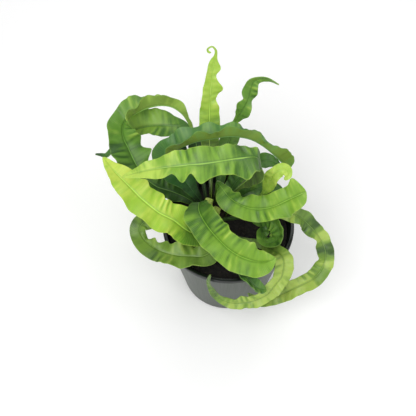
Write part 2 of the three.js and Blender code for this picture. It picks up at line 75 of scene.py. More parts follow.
def smooth(start: float, end: float, value: float) -> float:
    """Smooth step from 0 at start to 1 at end."""
    share = min(max((value - start) / (end - start), 0.0), 1.0)
    return share * share * (3 - 2 * share)


def along(values: Sequence[float], place: float) -> float:
    """Value of a short list, spread evenly over 0 to 1 and joined by smooth steps."""
    if len(values) == 1:
        return values[0]
    at = place * (len(values) - 1)
    index = min(int(at), len(values) - 2)
    return mix(values[index], values[index + 1], smooth(0, 1, at - index))


# ---------------------------------------------------------------- mesh work


def plain(name: str, add: Callable[..., object], **settings: object) -> bpy.types.Object:
    """Add one plain shape, name it and put its place in its mesh.

    Args:
        name: The piece's name.
        add: The operator that adds the shape.
        settings: What the operator is told.

    Returns:
        The new piece.
    """
    bpy.ops.object.select_all(action="DESELECT")
    add(**settings)
    piece = bpy.context.object
    piece.name = name
    piece.data.name = name
    bpy.ops.object.transform_apply(location=True, rotation=True, scale=True)
    return piece


def twin(pattern: bpy.types.Object) -> bpy.types.Object:
    """Copy of a piece, with a mesh of its own."""
    copy = pattern.copy()
    copy.data = pattern.data.copy()
    bpy.context.collection.objects.link(copy)
    return copy


def remove(piece: bpy.types.Object) -> None:
    """Take a piece out of the scene for good."""
    bpy.data.objects.remove(piece, do_unlink=True)


def take_only(piece: bpy.types.Object) -> None:
    """Select one object and nothing else."""
    bpy.ops.object.select_all(action="DESELECT")
    piece.select_set(True)
    bpy.context.view_layer.objects.active = piece


def apply_modifier(piece: bpy.types.Object, kind: str, **settings: object) -> None:
    """Add a modifier with its settings and apply it at once."""
    take_only(piece)
    modifier = piece.modifiers.new(kind.title(), kind)
    for key, value in settings.items():
        setattr(modifier, key, value)
    bpy.ops.object.modifier_apply(modifier=modifier.name)


def edit_all(piece: bpy.types.Object, *steps: Callable[[], object]) -> None:
    """Run edit-mode steps on the whole of one piece."""
    take_only(piece)
    bpy.ops.object.mode_set(mode="EDIT")
    bpy.ops.mesh.select_all(action="SELECT")
    for step in steps:
        step()
    bpy.ops.object.mode_set(mode="OBJECT")


def smooth_faces(piece: bpy.types.Object, degrees: float) -> None:
    """Shade smooth, with edges sharper than an angle kept crisp."""
    take_only(piece)
    bpy.ops.object.shade_smooth_by_angle(angle=math.radians(degrees))


def spun(name: str, profile: Profile, steps: int) -> bpy.types.Object:
    """Body turned about the Z axis from the closed outline of its half section.

    Args:
        name: The piece's name.
        profile: Corners of the outline, as radius and height in millimetres.
        steps: How many steps the full turn takes.

    Returns:
        The closed piece, with its faces pointing out.
    """
    piece = plain(name, bpy.ops.mesh.primitive_circle_add,
                  vertices=len(profile), fill_type="NOTHING")
    for vertex, (radius, height) in zip(piece.data.vertices, profile):
        vertex.co = (radius * MM, 0.0, height * MM)
    edit_all(
        piece,
        lambda: bpy.ops.mesh.spin(
            steps=steps, angle=2 * math.pi, center=(0, 0, 0), axis=(0, 0, 1)
        ),
    )
    edit_all(
        piece,
        lambda: bpy.ops.mesh.remove_doubles(threshold=SAME_PLACE * MM),
        lambda: bpy.ops.mesh.normals_make_consistent(inside=False),
    )
    return piece


def cut(piece: bpy.types.Object, cutter: bpy.types.Object) -> None:
    """Cut one closed piece out of another and remove the cutter."""
    apply_modifier(piece, "BOOLEAN", operation="DIFFERENCE", object=cutter, solver="EXACT")
    remove(cutter)


def joined(name: str, pattern: bpy.types.Object,
           copies: Sequence[bpy.types.Object]) -> bpy.types.Object:
    """One piece out of many copies of a pattern, which is removed."""
    remove(pattern)
    take_only(copies[0])
    for copy in copies:
        copy.select_set(True)
    bpy.ops.object.join()
    copies[0].name = name
    copies[0].data.name = name
    return copies[0]


def hand_over(piece: bpy.types.Object, slot: str, *nodes: str) -> None:
    """Fix a piece to the plant's body and hide the nodes that it stands for."""
    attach(piece, BODY)
    if nodes:
        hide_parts(*nodes)
    LOG.info("%s: %d faces, for %s", piece.name, len(piece.data.polygons), nodes or "itself")


# ---------------------------------------------------------------- finishes


class Wiring:
    """Adds nodes to one tree and joins them."""

    def __init__(self, tree: bpy.types.NodeTree) -> None:
        """Keep the tree that is wired."""
        self.tree = tree

    def node(self, kind: str, **settings: object) -> bpy.types.Node:
        """Add a node of a kind, with its settings."""
        added = self.tree.nodes.new(kind)
        for key, value in settings.items():
            setattr(added, key, value)
        return added

    def feed(self, value: object, socket: bpy.types.NodeSocket) -> None:
        """Join a socket to an input, or set a plain value there."""
        if isinstance(value, bpy.types.NodeSocket):
            self.tree.links.new(value, socket)
        else:
            socket.default_value = value

    def math(self, operation: str, first: object, second: object = 0.0) -> bpy.types.NodeSocket:
        """Result of a sum on one or two values."""
        added = self.node("ShaderNodeMath", operation=operation)
        self.feed(first, added.inputs[0])
        self.feed(second, added.inputs[1])
        return added.outputs[0]

    def plus(self, first: object, second: object) -> bpy.types.NodeSocket:
        """Sum of two values."""
        return self.math("ADD", first, second)

    def times(self, first: object, second: object) -> bpy.types.NodeSocket:
        """Product of two values."""
        return self.math("MULTIPLY", first, second)

    def centred(self, value: object) -> bpy.types.NodeSocket:
        """Value from 0 to 1, moved to lie about 0."""
        return self.math("SUBTRACT", value, 0.5)

    def flipped(self, value: object) -> bpy.types.NodeSocket:
        """Value with its sign changed."""
        return self.math("MULTIPLY", value, -1.0)

    def step(self, value: object, start: float, end: float) -> bpy.types.NodeSocket:
        """Smooth step of a value from 0 at start to 1 at end."""
        added = self.node("ShaderNodeMapRange", interpolation_type="SMOOTHSTEP")
        self.feed(value, added.inputs["Value"])
        self.feed(start, added.inputs["From Min"])
        self.feed(end, added.inputs["From Max"])
        return added.outputs["Result"]

    def blend(self, share: object, first: object, second: object) -> bpy.types.NodeSocket:
        """Colour between two colours."""
        added = self.node("ShaderNodeMix", data_type="RGBA")
        self.feed(share, added.inputs[0])
        self.feed(first, added.inputs[6])
        self.feed(second, added.inputs[7])
        return added.outputs[2]

    def grain(self, vector: object, scale: float, detail: float) -> bpy.types.NodeSocket:
        """Noise value at a scale, per metre."""
        added = self.node("ShaderNodeTexNoise")
        self.feed(vector, added.inputs["Vector"])
        self.feed(scale, added.inputs["Scale"])
        self.feed(detail, added.inputs["Detail"])
        return added.outputs["Fac"]

    def split(self, vector: object) -> bpy.types.NodeOutputs:
        """X, Y and Z of a vector."""
        added = self.node("ShaderNodeSeparateXYZ")
        self.feed(vector, added.inputs[0])
        return added.outputs

    def vector(self, *parts: object) -> bpy.types.NodeSocket:
        """Vector of two or three values."""
        added = self.node("ShaderNodeCombineXYZ")
        for value, socket in zip(parts, added.inputs):
            self.feed(value, socket)
        return added.outputs[0]

    def place(self) -> bpy.types.NodeSocket:
        """Position on the piece."""
        return self.node("ShaderNodeTexCoord").outputs["Object"]

    def attribute(self, name: str) -> bpy.types.NodeSocket:
        """Number that the mesh carries at each point."""
        return self.node("ShaderNodeAttribute", attribute_name=name).outputs["Fac"]


def new_group(
    name: str, inputs: dict[str, object], outputs: dict[str, str]
) -> tuple[bpy.types.NodeTree, Wiring, bpy.types.Node, bpy.types.Node]:
    """Start a shader node group.

    Args:
        name: The group's name.
        inputs: Input names, each with a starting colour or number.
        outputs: Output names, each with its socket type.

    Returns:
        The group, its wiring, and its input and output nodes.
    """
    tree = bpy.data.node_groups.new(name, "ShaderNodeTree")
    for label, start in inputs.items():
        kind = "NodeSocketColor" if isinstance(start, tuple) else "NodeSocketFloat"
        socket = tree.interface.new_socket(name=label, in_out="INPUT", socket_type=kind)
        socket.default_value = start
    for label, kind in outputs.items():
        tree.interface.new_socket(name=label, in_out="OUTPUT", socket_type=kind)
    wiring = Wiring(tree)
    return tree, wiring, wiring.node("NodeGroupInput"), wiring.node("NodeGroupOutput")


def new_material(name: str) -> tuple[bpy.types.Material, Wiring, bpy.types.Node]:
    """Start a material and hand back its wiring and its shader."""
    material = bpy.data.materials.new(name)
    material.use_nodes = True
    shader = next(n for n in material.node_tree.nodes if n.type == "BSDF_PRINCIPLED")
    return material, Wiring(material.node_tree), shader


def set_inputs(node: bpy.types.Node, values: dict[str, object]) -> None:
    """Set plain values on the inputs of a node."""
    for label, value in values.items():
        node.inputs[label].default_value = value


def relief(wiring: Wiring, height: object, depth: float, shader: bpy.types.Node) -> None:
    """Raise a shader's surface by a height pattern, depth in millimetres."""
    bump = wiring.node("ShaderNodeBump")
    set_inputs(bump, {"Strength": 1.0, "Distance": depth * MM})
    wiring.feed(height, bump.inputs["Height"])
    wiring.feed(bump.outputs["Normal"], shader.inputs["Normal"])


class LeafPattern:
    """The colour, gloss and veins that every frond has, with its painted light and shade, as one node
    group.
    """

    NAME = "leaf_pattern"
    # Scales of the noise, per metre, and how much each adds to the lightness; the streaks are painted
    # light and shade of fine pleats between the side veins.
    PATCH_SCALE, PATCH_SHARE = 24.0, 1.7
    MOTTLE_SCALE, MOTTLE_SHARE = 130.0, 0.5
    STREAK_SCALE, STREAK_SHARE = 9.0, 1.5
    STREAKS_PER_MM = 0.22
    STREAK_SLANT = -0.25
    # How much a ripple's crest adds to the lightness: painted light on crests, painted shade in their
    # hollows.
    CREST_SHARE = 0.6
    # Lightness at which the painted shade in hollows, the pale parts and the strongest painted shade
    # start and are full.
    HOLLOW = (-0.15, 0.95)
    YOUNG_AND_LIT = (0.1, 1.0)
    SHADE = (0.9, 2.1)
    # Near-black green of the strongest painted shade, on stalk bases inside the rosette and on shaded
    # bends.
    SHADE_COLOUR = paint(18, 30, 12)
    # The margin's pale seam, by place across the blade.
    SEAM = (0.93, 1.0)
    SEAM_SHARE = 0.3
    # Side veins: millimetres from one to the next, how far they lean and how they waver.
    VEIN_SPACING = 1.3
    VEIN_LEAN = -3.5
    VEIN_WOBBLE = 2.2
    VEIN_START = (0.05, 0.2)
    VEIN_EDGE = (0.2, 1.0)
    VEIN_SHARE = 0.14
    # The midrib and the shadow beside it, in widths of the midrib.
    RIB_EDGE, RIB_SHARE = (0.45, 1.0), 0.75
    SHADOW_EDGE, SHADOW_SHARE = (1.0, 2.6), 0.4
    GLOSS_SPREAD = 0.25
    VEIN_RELIEF = 0.5

    @classmethod
    def group(cls) -> bpy.types.NodeTree:
        """The group, built the first time that it is asked for."""
        return bpy.data.node_groups.get(cls.NAME) or cls.build()

    @classmethod
    def build(cls) -> bpy.types.NodeTree:
        """Wire midrib, side veins, painted light on crests, painted shade in hollows, painted streaks,
        pale tips and mottling.

        Returns:
            A group that puts out a colour, a roughness and a height.
        """
        white = (1.0, 1.0, 1.0, 1.0)
        tree, wiring, given, result = new_group(
            cls.NAME,
            {"Blade": white, "Deep": white, "Pale": white, "Rib": white,
             "Rib Width": 0.05, "Gloss": 0.4},
            {"Colour": "NodeSocketColor", "Roughness": "NodeSocketFloat",
             "Height": "NodeSocketFloat"},
        )
        uv = wiring.split(wiring.node("ShaderNodeUVMap", uv_map="UVMap").outputs[0])
        across = wiring.times(wiring.math("ABSOLUTE", wiring.centred(uv[0])), 2.0)
        millimetres = wiring.times(uv[1], UV_LENGTH)
        place = wiring.place()
        mottle = wiring.grain(place, cls.MOTTLE_SCALE, 4.0)

        # Streaks across the blade between the side veins: painted light and shade of the fine pleats.
        along_blade = wiring.plus(wiring.times(millimetres, cls.STREAKS_PER_MM),
                                  wiring.times(across, cls.STREAK_SLANT))
        strip = wiring.vector(along_blade, uv[0], wiring.grain(place, cls.STREAK_SCALE, 0.0))
        streaks = wiring.grain(strip, 1.0, 2.0)
        patches = wiring.grain(place, cls.PATCH_SCALE, 2.0)
        # Lightness: the crest (painted light on crests, painted shade in hollows), the frond's tone
        # (painted shade near the crown and on turned parts, pale young parts) and noise.
        light = wiring.plus(wiring.times(wiring.attribute("crest"), cls.CREST_SHARE),
                            wiring.attribute("tone"))
        for noise_value, share in ((patches, cls.PATCH_SHARE), (streaks, cls.STREAK_SHARE),
                                   (mottle, cls.MOTTLE_SHARE)):
            light = wiring.plus(light, wiring.times(wiring.centred(noise_value), share))

        dark = wiring.flipped(light)
        # Painted shade: the deep colour in the hollows and on dark-toned parts.
        body = wiring.blend(wiring.step(dark, *cls.HOLLOW),
                            given.outputs["Blade"], given.outputs["Deep"])
        # Pale: the margin's seam, young parts and tips, and painted highlight where crest and tone are
        # light.
        seam = wiring.times(wiring.step(across, *cls.SEAM), cls.SEAM_SHARE)
        young = wiring.math("MAXIMUM", wiring.step(light, *cls.YOUNG_AND_LIT), seam)
        body = wiring.blend(young, body, given.outputs["Pale"])
        # Strongest painted shade, where the tone is lowest.
        body = wiring.blend(wiring.step(dark, *cls.SHADE), body, cls.SHADE_COLOUR)

        ordered = wiring.math("DIVIDE", wiring.plus(
            millimetres, wiring.times(across, cls.VEIN_LEAN)), cls.VEIN_SPACING)
        veins = wiring.math("SINE", wiring.plus(wiring.times(ordered, 2 * math.pi),
                                                wiring.times(mottle, cls.VEIN_WOBBLE)))
        veins = wiring.times(veins, wiring.step(across, *cls.VEIN_START))
        lined = wiring.times(wiring.step(veins, *cls.VEIN_EDGE), cls.VEIN_SHARE)
        body = wiring.blend(lined, body, given.outputs["Rib"])

        widths = wiring.math("DIVIDE", across, given.outputs["Rib Width"])
        for edge, share, colour in ((cls.SHADOW_EDGE, cls.SHADOW_SHARE, "Deep"),
                                    (cls.RIB_EDGE, cls.RIB_SHARE, "Rib")):
            near = wiring.math("SUBTRACT", 1.0, wiring.step(widths, *edge))
            body = wiring.blend(wiring.times(near, share), body, given.outputs[colour])

        wiring.feed(body, result.inputs["Colour"])
        gloss = wiring.times(wiring.centred(mottle), cls.GLOSS_SPREAD)
        wiring.feed(wiring.plus(given.outputs["Gloss"], gloss), result.inputs["Roughness"])
        wiring.feed(wiring.plus(wiring.times(veins, cls.VEIN_RELIEF), mottle),
                    result.inputs["Height"])
        return tree


@dataclass(frozen=True)
class LeafFinish:
    """Colours and gloss of one face of a frond."""

    name: str
    blade: Colour
    deep: Colour
    pale: Colour
    rib: Colour
    rib_width: float = 0.068
    gloss: float = 0.42
    specular: float = 0.35
    shine: float = 0.08
    shine_roughness: float = 0.28
    glow: float = 0.1
    glow_radius: tuple[float, float, float] = (0.4, 1.0, 0.15)
    glow_depth: float = 2
    vein_depth: float = 0.07

    def material(self) -> bpy.types.Material:
        """The material, made the first time that it is asked for."""
        return bpy.data.materials.get(self.name) or self.build()

    def build(self) -> bpy.types.Material:
        """Wire the leaf pattern to a shader.

        Returns:
            The finished material.
        """
        material, wiring, shader = new_material(self.name)
        pattern = wiring.node("ShaderNodeGroup")
        pattern.node_tree = LeafPattern.group()
        set_inputs(pattern, {
            "Blade": self.blade, "Deep": self.deep, "Pale": self.pale, "Rib": self.rib,
            "Rib Width": self.rib_width, "Gloss": self.gloss})
        wiring.feed(pattern.outputs["Colour"], shader.inputs["Base Color"])
        wiring.feed(pattern.outputs["Roughness"], shader.inputs["Roughness"])
        relief(wiring, pattern.outputs["Height"], self.vein_depth, shader)
        set_inputs(shader, {
            "Specular IOR Level": self.specular, "Coat Weight": self.shine,
            "Coat Roughness": self.shine_roughness, "Subsurface Weight": self.glow,
            "Subsurface Radius": self.glow_radius, "Subsurface Scale": self.glow_depth * MM})
        return material


# How a midrib's screen colour follows from the blade's.
RIB_GAIN, RIB_LIFT = 1.08, 32
# How the painted shade in an underside's hollows and its roughness follow from its other values.
UNDER_SHADE, UNDER_DULLER = 0.72, 0.1


def leaf_pair(
    name: str,
    blade: tuple[int, int, int],
    deep: tuple[int, int, int],
    pale: tuple[int, int, int],
    under: tuple[int, int, int],
    gloss: float = 0.42,
) -> tuple[LeafFinish, LeafFinish]:
    """Finishes of the two faces of a frond.

    Args:
        name: What the green is called.
        blade: Screen colour of the upper face.
        deep: Screen colour of the painted shade in its hollows, beside the midrib and on dark-toned
            parts.
        pale: Screen colour of young parts and tips, also used as painted highlight on light crests.
        under: Screen colour of the underside.
        gloss: Roughness of the upper face.

    Returns:
        The finish of the upper face and that of the underside.
    """
    rib = tuple(min(255, int(value * RIB_GAIN + RIB_LIFT)) for value in blade)
    dim = tuple(int(value * UNDER_SHADE) for value in under)
    upper = LeafFinish(f"{name}_upper", paint(*blade), paint(*deep), paint(*pale),
                       paint(*rib), gloss=gloss)
    lower = LeafFinish(f"{name}_under", paint(*under), paint(*dim), paint(*pale),
                       paint(*rib), rib_width=0.09, gloss=gloss + UNDER_DULLER, shine=0.02)
    return upper, lower


class Green(Enum):
    """The greens of the fronds: upper face and underside."""

    BRIGHT = leaf_pair("bright", (121, 163, 52), (63, 104, 32), (176, 204, 84), (112, 150, 58))
    LIME = leaf_pair("lime", (152, 190, 58), (100, 148, 44), (190, 210, 84), (136, 170, 62))
    YELLOW = leaf_pair("yellow", (158, 192, 70), (112, 152, 50), (186, 210, 92),
                       (140, 176, 66))
    MID = leaf_pair("mid", (98, 142, 52), (44, 82, 28), (150, 182, 76), (122, 152, 62))
    OLIVE = leaf_pair("olive", (110, 143, 54), (54, 84, 34), (160, 184, 84), (124, 150, 62))
    # The fronds inside and behind the rosette get these darker greens as painted shade for the shade
    # that they sit in.
    DARK = leaf_pair("dark", (70, 114, 42), (30, 62, 22), (130, 168, 62), (82, 116, 46))
    TEAL = leaf_pair("teal", (74, 122, 54), (46, 90, 40), (116, 156, 72), (122, 150, 58))
    BUD = leaf_pair("bud", (172, 196, 84), (112, 142, 52), (200, 212, 110),
                    (166, 186, 84), gloss=0.5)

    @property
    def faces(self) -> tuple[LeafFinish, LeafFinish]:
        """Finish of the upper face, then that of the underside."""
        return self.value


@dataclass(frozen=True)
class PlasticFinish:
    """Moulded pot plastic with fine vertical drag marks and a little dust."""

    name: str
    colour: Colour
    dust: Colour
    roughness: float
    dust_share: float

    # Scales of the noise: drag marks round and up the wall, then per metre.
    DRAG_ROUND, DRAG_UP = 60.0, 18.0
    CLOUD_SCALE, GRAIN_SCALE = 22.0, 900.0
    CLOUD_EDGE = (0.25, 0.8)
    DRAG_GLOSS = 0.2
    DRAG_RELIEF, GRAIN_RELIEF = 0.6, 0.4
    RELIEF_DEPTH = 0.08

    def build(self) -> bpy.types.Material:
        """Wire drag marks, dust and moulding grain to a shader.

        Returns:
            The finished material.
        """
        material, wiring, shader = new_material(self.name)
        place = wiring.place()
        x, y, height = wiring.split(place)
        turn = wiring.math("ARCTAN2", y, x)
        strip = wiring.vector(wiring.times(turn, self.DRAG_ROUND),
                              wiring.times(height, self.DRAG_UP))
        drag = wiring.grain(strip, 1.0, 3.0)
        cloud = wiring.grain(place, self.CLOUD_SCALE, 4.0)
        grain = wiring.grain(place, self.GRAIN_SCALE, 2.0)
        marks = wiring.centred(drag)
        dusty = wiring.plus(wiring.times(wiring.step(cloud, *self.CLOUD_EDGE), self.dust_share),
                            wiring.times(marks, self.dust_share))
        wiring.feed(wiring.blend(dusty, self.colour, self.dust), shader.inputs["Base Color"])
        rough = wiring.plus(self.roughness, wiring.times(marks, self.DRAG_GLOSS))
        wiring.feed(rough, shader.inputs["Roughness"])
        raised = wiring.plus(wiring.times(drag, self.DRAG_RELIEF),
                             wiring.times(grain, self.GRAIN_RELIEF))
        relief(wiring, raised, self.RELIEF_DEPTH, shader)
        return material


@dataclass(frozen=True)
class CrumbFinish:
    """Loose dark matter: potting mix, bark and root fibre."""

    name: str
    dark: Colour
    light: Colour
    scale: float
    depth: float
    roughness: float = 0.92

    FINER = 5
    LIGHT_EDGE = (0.3, 0.85)
    FINE_RELIEF = 0.4

    def build(self) -> bpy.types.Material:
        """Wire crumbs of two browns to a rough shader.

        Returns:
            The finished material.
        """
        material, wiring, shader = new_material(self.name)
        place = wiring.place()
        coarse = wiring.grain(place, self.scale, 6.0)
        fine = wiring.grain(place, self.scale * self.FINER, 4.0)
        share = wiring.step(wiring.times(coarse, wiring.plus(fine, 0.5)), *self.LIGHT_EDGE)
        wiring.feed(wiring.blend(share, self.dark, self.light), shader.inputs["Base Color"])
        set_inputs(shader, {"Roughness": self.roughness})
        height = wiring.plus(coarse, wiring.times(fine, self.FINE_RELIEF))
        relief(wiring, height, self.depth, shader)
        return material


# ---------------------------------------------------------------- the plant


@dataclass
class Crown:
    """The scaly rootstock that all the fronds grow from."""

    node: str = "crown"
    x: float = -18
    y: float = 22
    radius: float = 19
    bottom: float = 88
    top: float = 116
    soil_level: float = 101
    stalk_foot: float = 94
    stalk_rise: float = 105
    scale_length: float = 7.0
    scale_width: float = 1.5
    scale_thickness: float = 0.3
    scales: int = 190
    finish: CrumbFinish = CrumbFinish(
        "crown_fibre", paint(22, 20, 12), paint(54, 46, 26), 240.0, 0.6)

    SEED = 7
    # The scales cover this share of the dome and keep this far from a stalk's middle.
    COVERED = 0.94
    STALK_ROOM = 3.6
    ROOT_DEPTH = 0.6
    # A scale's outline is a sine with a start, a span and a power. It bows up and cups.
    OUTLINE = (0.14, 0.84, 0.7)
    BOW, CUP = 0.25, 0.2
    # Degrees that a scale stands up in the middle and at the edge, and how much it varies.
    STEEP, FLAT, TILT_SPREAD = 75, 25, 12
    TURN_SPREAD = 0.4
    SIZES = (0.6, 1.15)

    def seat(self, ring: float, bearing: float) -> tuple[Vector, Vector]:
        """Foot of a stalk on the crown, and the way that its upper face looks there.

        Args:
            ring: Distance from the crown's middle.
            bearing: Degrees from +X towards +Y.

        Returns:
            The foot and the direction, in millimetres.
        """
        angle = math.radians(bearing)
        outward = Vector((math.cos(angle), math.sin(angle), 0))
        return Vector((self.x, self.y, self.stalk_foot)) + outward * ring, -outward

    def dome(self, distance: float) -> float:
        """Height of the dome at a distance from its middle."""
        inside = max(0.0, 1 - (distance / self.radius) ** 2)
        return self.soil_level + (self.top - self.soil_level) * math.sqrt(inside)

    def build(self, feet: Iterable[Vector]) -> None:
        """Dress the rootstock and lay its scales between the stalks.

        Args:
            feet: Where the stalks stand.
        """
        material = self.finish.build()
        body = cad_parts[self.node]
        for holder in body.material_slots:
            holder.material = material
        stalks = list(feet)
        draw = random.Random(self.SEED)
        pattern = self.one_scale(material)
        copies = []
        while len(copies) < self.scales:
            angle = draw.uniform(0, 2 * math.pi)
            distance = self.radius * math.sqrt(draw.uniform(0.0, self.COVERED))
            x = self.x + distance * math.cos(angle)
            y = self.y + distance * math.sin(angle)
            if min(math.hypot(x - foot.x, y - foot.y) for foot in stalks) < self.STALK_ROOM:
                continue
            root = Vector((x, y, self.dome(distance) - self.ROOT_DEPTH))
            copies.append(self.copy_scale(pattern, root, angle, distance, draw))
        hand_over(joined("crown_scales", pattern, copies), "crown")

    def one_scale(self, material: bpy.types.Material) -> bpy.types.Object:
        """One narrow pointed scale, lying along +X from the origin."""
        piece = plain("scale", bpy.ops.mesh.primitive_grid_add,
                      x_subdivisions=5, y_subdivisions=2, size=1)
        start, span, power = self.OUTLINE
        for vertex in piece.data.vertices:
            share = vertex.co.x + 0.5
            width = self.scale_width * math.sin(math.pi * (start + span * share)) ** power
            side = vertex.co.y * 2
            lift = self.BOW * math.sin(math.pi * share) - self.CUP * abs(side)
            vertex.co = (share * self.scale_length * MM, side * width * MM / 2, lift * MM)
        apply_modifier(piece, "SOLIDIFY", thickness=self.scale_thickness * MM, offset=0)
        piece.data.materials.append(material)
        smooth_faces(piece, CREASE)
        return piece

    def copy_scale(self, pattern: bpy.types.Object, root: Vector, angle: float,
                   distance: float, draw: random.Random) -> bpy.types.Object:
        """Copy of the scale, standing out of the dome.

        Args:
            pattern: The scale to copy.
            root: Where it grows from.
            angle: Its bearing about the crown.
            distance: How far from the crown's middle it stands.
            draw: The crown's own run of random numbers.

        Returns:
            The copy, with its place in its mesh.
        """
        copy = twin(pattern)
        steep = mix(self.STEEP, self.FLAT, distance / self.radius)
        steep += draw.uniform(-self.TILT_SPREAD, self.TILT_SPREAD)
        copy.data.transform(
            Matrix.Translation(root * MM)
            @ Matrix.Rotation(angle + draw.uniform(-self.TURN_SPREAD, self.TURN_SPREAD), 4, "Z")
            @ Matrix.Rotation(-math.radians(steep), 4, "Y")
            @ Matrix.Scale(draw.uniform(*self.SIZES), 4))
        return copy


CROWN = Crown()


class Ring(Enum):
    """Rings of stalks on the crown, by distance from its middle."""

    INNER = 5.5
    MIDDLE = 10.0
    OUTER = 15.5


class Growth:
    """Anything that grows from a place on one of the crown's rings."""

    ring: Ring
    bearing: float

    @property
    def seat(self) -> tuple[Vector, Vector]:
        """Foot of the stalk in the crown, and the way that its upper face looks there."""
        return CROWN.seat(self.ring.value, self.bearing)

    @property
    def foot(self) -> Vector:
        """Where the stalk stands in the crown."""
        return self.seat[0]

    @property
    def start(self) -> list[Vector]:
        """The foot and the point where the stalk leaves the crown."""
        return [self.foot, Vector((self.foot.x, self.foot.y, CROWN.stalk_rise))]


@dataclass
class Station:
    """One place on a midrib, with the frame that is carried along it."""

    distance: float
    length: float
    share: float
    path_share: float
    place: Vector
    tangent: Vector
    up: Vector


class Midrib:
    """A smooth line through given points, read at even steps."""

    SAMPLES = 240

    def __init__(self, points: Sequence[Vector], faces: Vector) -> None:
        """Sample the line and carry a frame along it without turning.

        Args:
            points: Points that the line passes through, in millimetres.
            faces: The way that the upper face looks at the start.
        """
        last = self.SAMPLES
        self.places = [self.point(points, index / last) for index in range(last + 1)]
        self.lengths = [0.0]
        for before, after in zip(self.places, self.places[1:]):
            self.lengths.append(self.lengths[-1] + (after - before).length)
        self.frames = []
        carried = faces.copy()
        for index in range(last + 1):
            ahead = self.places[min(index + 1, last)]
            tangent = (ahead - self.places[max(index - 1, 0)]).normalized()
            carried = (carried - tangent * carried.dot(tangent)).normalized()
            self.frames.append((tangent, carried.copy()))

    @staticmethod
    def point(points: Sequence[Vector], share: float) -> Vector:
        """Point of a centripetal spline at a share of its spans.

        Args:
            points: Points that it passes through.
            share: From 0 at the first to 1 at the last.

        Returns:
            The point.
        """
        at = share * (len(points) - 1)
        index = min(int(at), len(points) - 2)
        part = at - index
        second, third = points[index], points[index + 1]
        first = points[index - 1] if index > 0 else second * 2 - third
        fourth = points[index + 2] if index + 2 < len(points) else third * 2 - second
        gap = math.sqrt((third - second).length) or 1.0
        gap_in = math.sqrt((second - first).length) or gap
        gap_out = math.sqrt((fourth - third).length) or gap
        leave = ((second - first) / gap_in - (third - first) / (gap_in + gap)
                 + (third - second) / gap) * gap
        arrive = ((third - second) / gap - (fourth - second) / (gap + gap_out)
                  + (fourth - third) / gap_out) * gap
        square = (third - second) * 3 - leave * 2 - arrive
        cube = (second - third) * 2 + leave + arrive
        return second + leave * part + square * part**2 + cube * part**3

    def stations(self, step: float) -> list[Station]:
        """Places at even steps.

        Args:
            step: Length of a step, about.

        Returns:
            The places, from the foot to the tip.
        """
        length = self.lengths[-1]
        count = round(length / step)
        found = []
        index = 0
        for number in range(count + 1):
            distance = length * number / count
            while index < self.SAMPLES - 1 and self.lengths[index + 1] < distance:
                index += 1
            span = self.lengths[index + 1] - self.lengths[index]
            part = (distance - self.lengths[index]) / span
            place = self.places[index].lerp(self.places[index + 1], part)
            tangent = self.frames[index][0].lerp(self.frames[index + 1][0], part).normalized()
            up = self.frames[index][1].lerp(self.frames[index + 1][1], part)
            up = (up - tangent * up.dot(tangent)).normalized()
            found.append(Station(distance, length, number / count,
                                 (index + part) / self.SAMPLES, place, tangent, up))
        return found


@dataclass
class Cell:
    """One point of a blade: where it is, how thick, how high on a ripple, and its tone of painted
    shade and paleness.
    """

    point: Vector
    thickness: float
    crest: float
    tone: float


class Ribbon:
    """Lays a sheet over rows of cells and gives it thickness."""

    THICKEST = 2.6
    CRISP = 60

    @classmethod
    def build(cls, name: str, rows: list[list[Cell]], across: Sequence[float],
              stations: Sequence[Station], faces: tuple[LeafFinish, LeafFinish]
              ) -> bpy.types.Object:
        """Shape a grid into a blade with an upper face and an underside.

        Args:
            name: The piece's name.
            rows: Cells of the blade, from foot to tip.
            across: Place of each column, -1 to 1.
            stations: Place of each row along the midrib.
            faces: Finishes of the upper face and the underside.

        Returns:
            The closed piece.
        """
        wide, long = len(across) - 1, len(rows) - 1
        piece = plain(name, bpy.ops.mesh.primitive_grid_add,
                      x_subdivisions=wide, y_subdivisions=long, size=1)
        mesh = piece.data
        places = [(round((corner.co.y + 0.5) * long), round((corner.co.x + 0.5) * wide))
                  for corner in mesh.vertices]
        cells = [rows[row][column] for row, column in places]
        thick = piece.vertex_groups.new(name="thickness")
        for vertex, cell in zip(mesh.vertices, cells):
            vertex.co = cell.point * MM
            thick.add([vertex.index], cell.thickness / cls.THICKEST, "REPLACE")
        # Crest and tone go to the leaf pattern, which paints light and shade from them.
        for label in ("crest", "tone"):
            values = [getattr(cell, label) for cell in cells]
            mesh.attributes.new(label, "FLOAT", "POINT").data.foreach_set("value", values)
        layer = mesh.uv_layers["UVMap"].data
        for loop in mesh.loops:
            row, column = places[loop.vertex_index]
            layer[loop.index].uv = (
                (across[column] + 1) / 2, stations[row].distance / UV_LENGTH)
        for finish in faces:
            mesh.materials.append(finish.material())
        apply_modifier(piece, "SOLIDIFY", thickness=cls.THICKEST * MM, offset=0,
                       vertex_group="thickness", material_offset=1)
        smooth_faces(piece, cls.CRISP)
        return piece


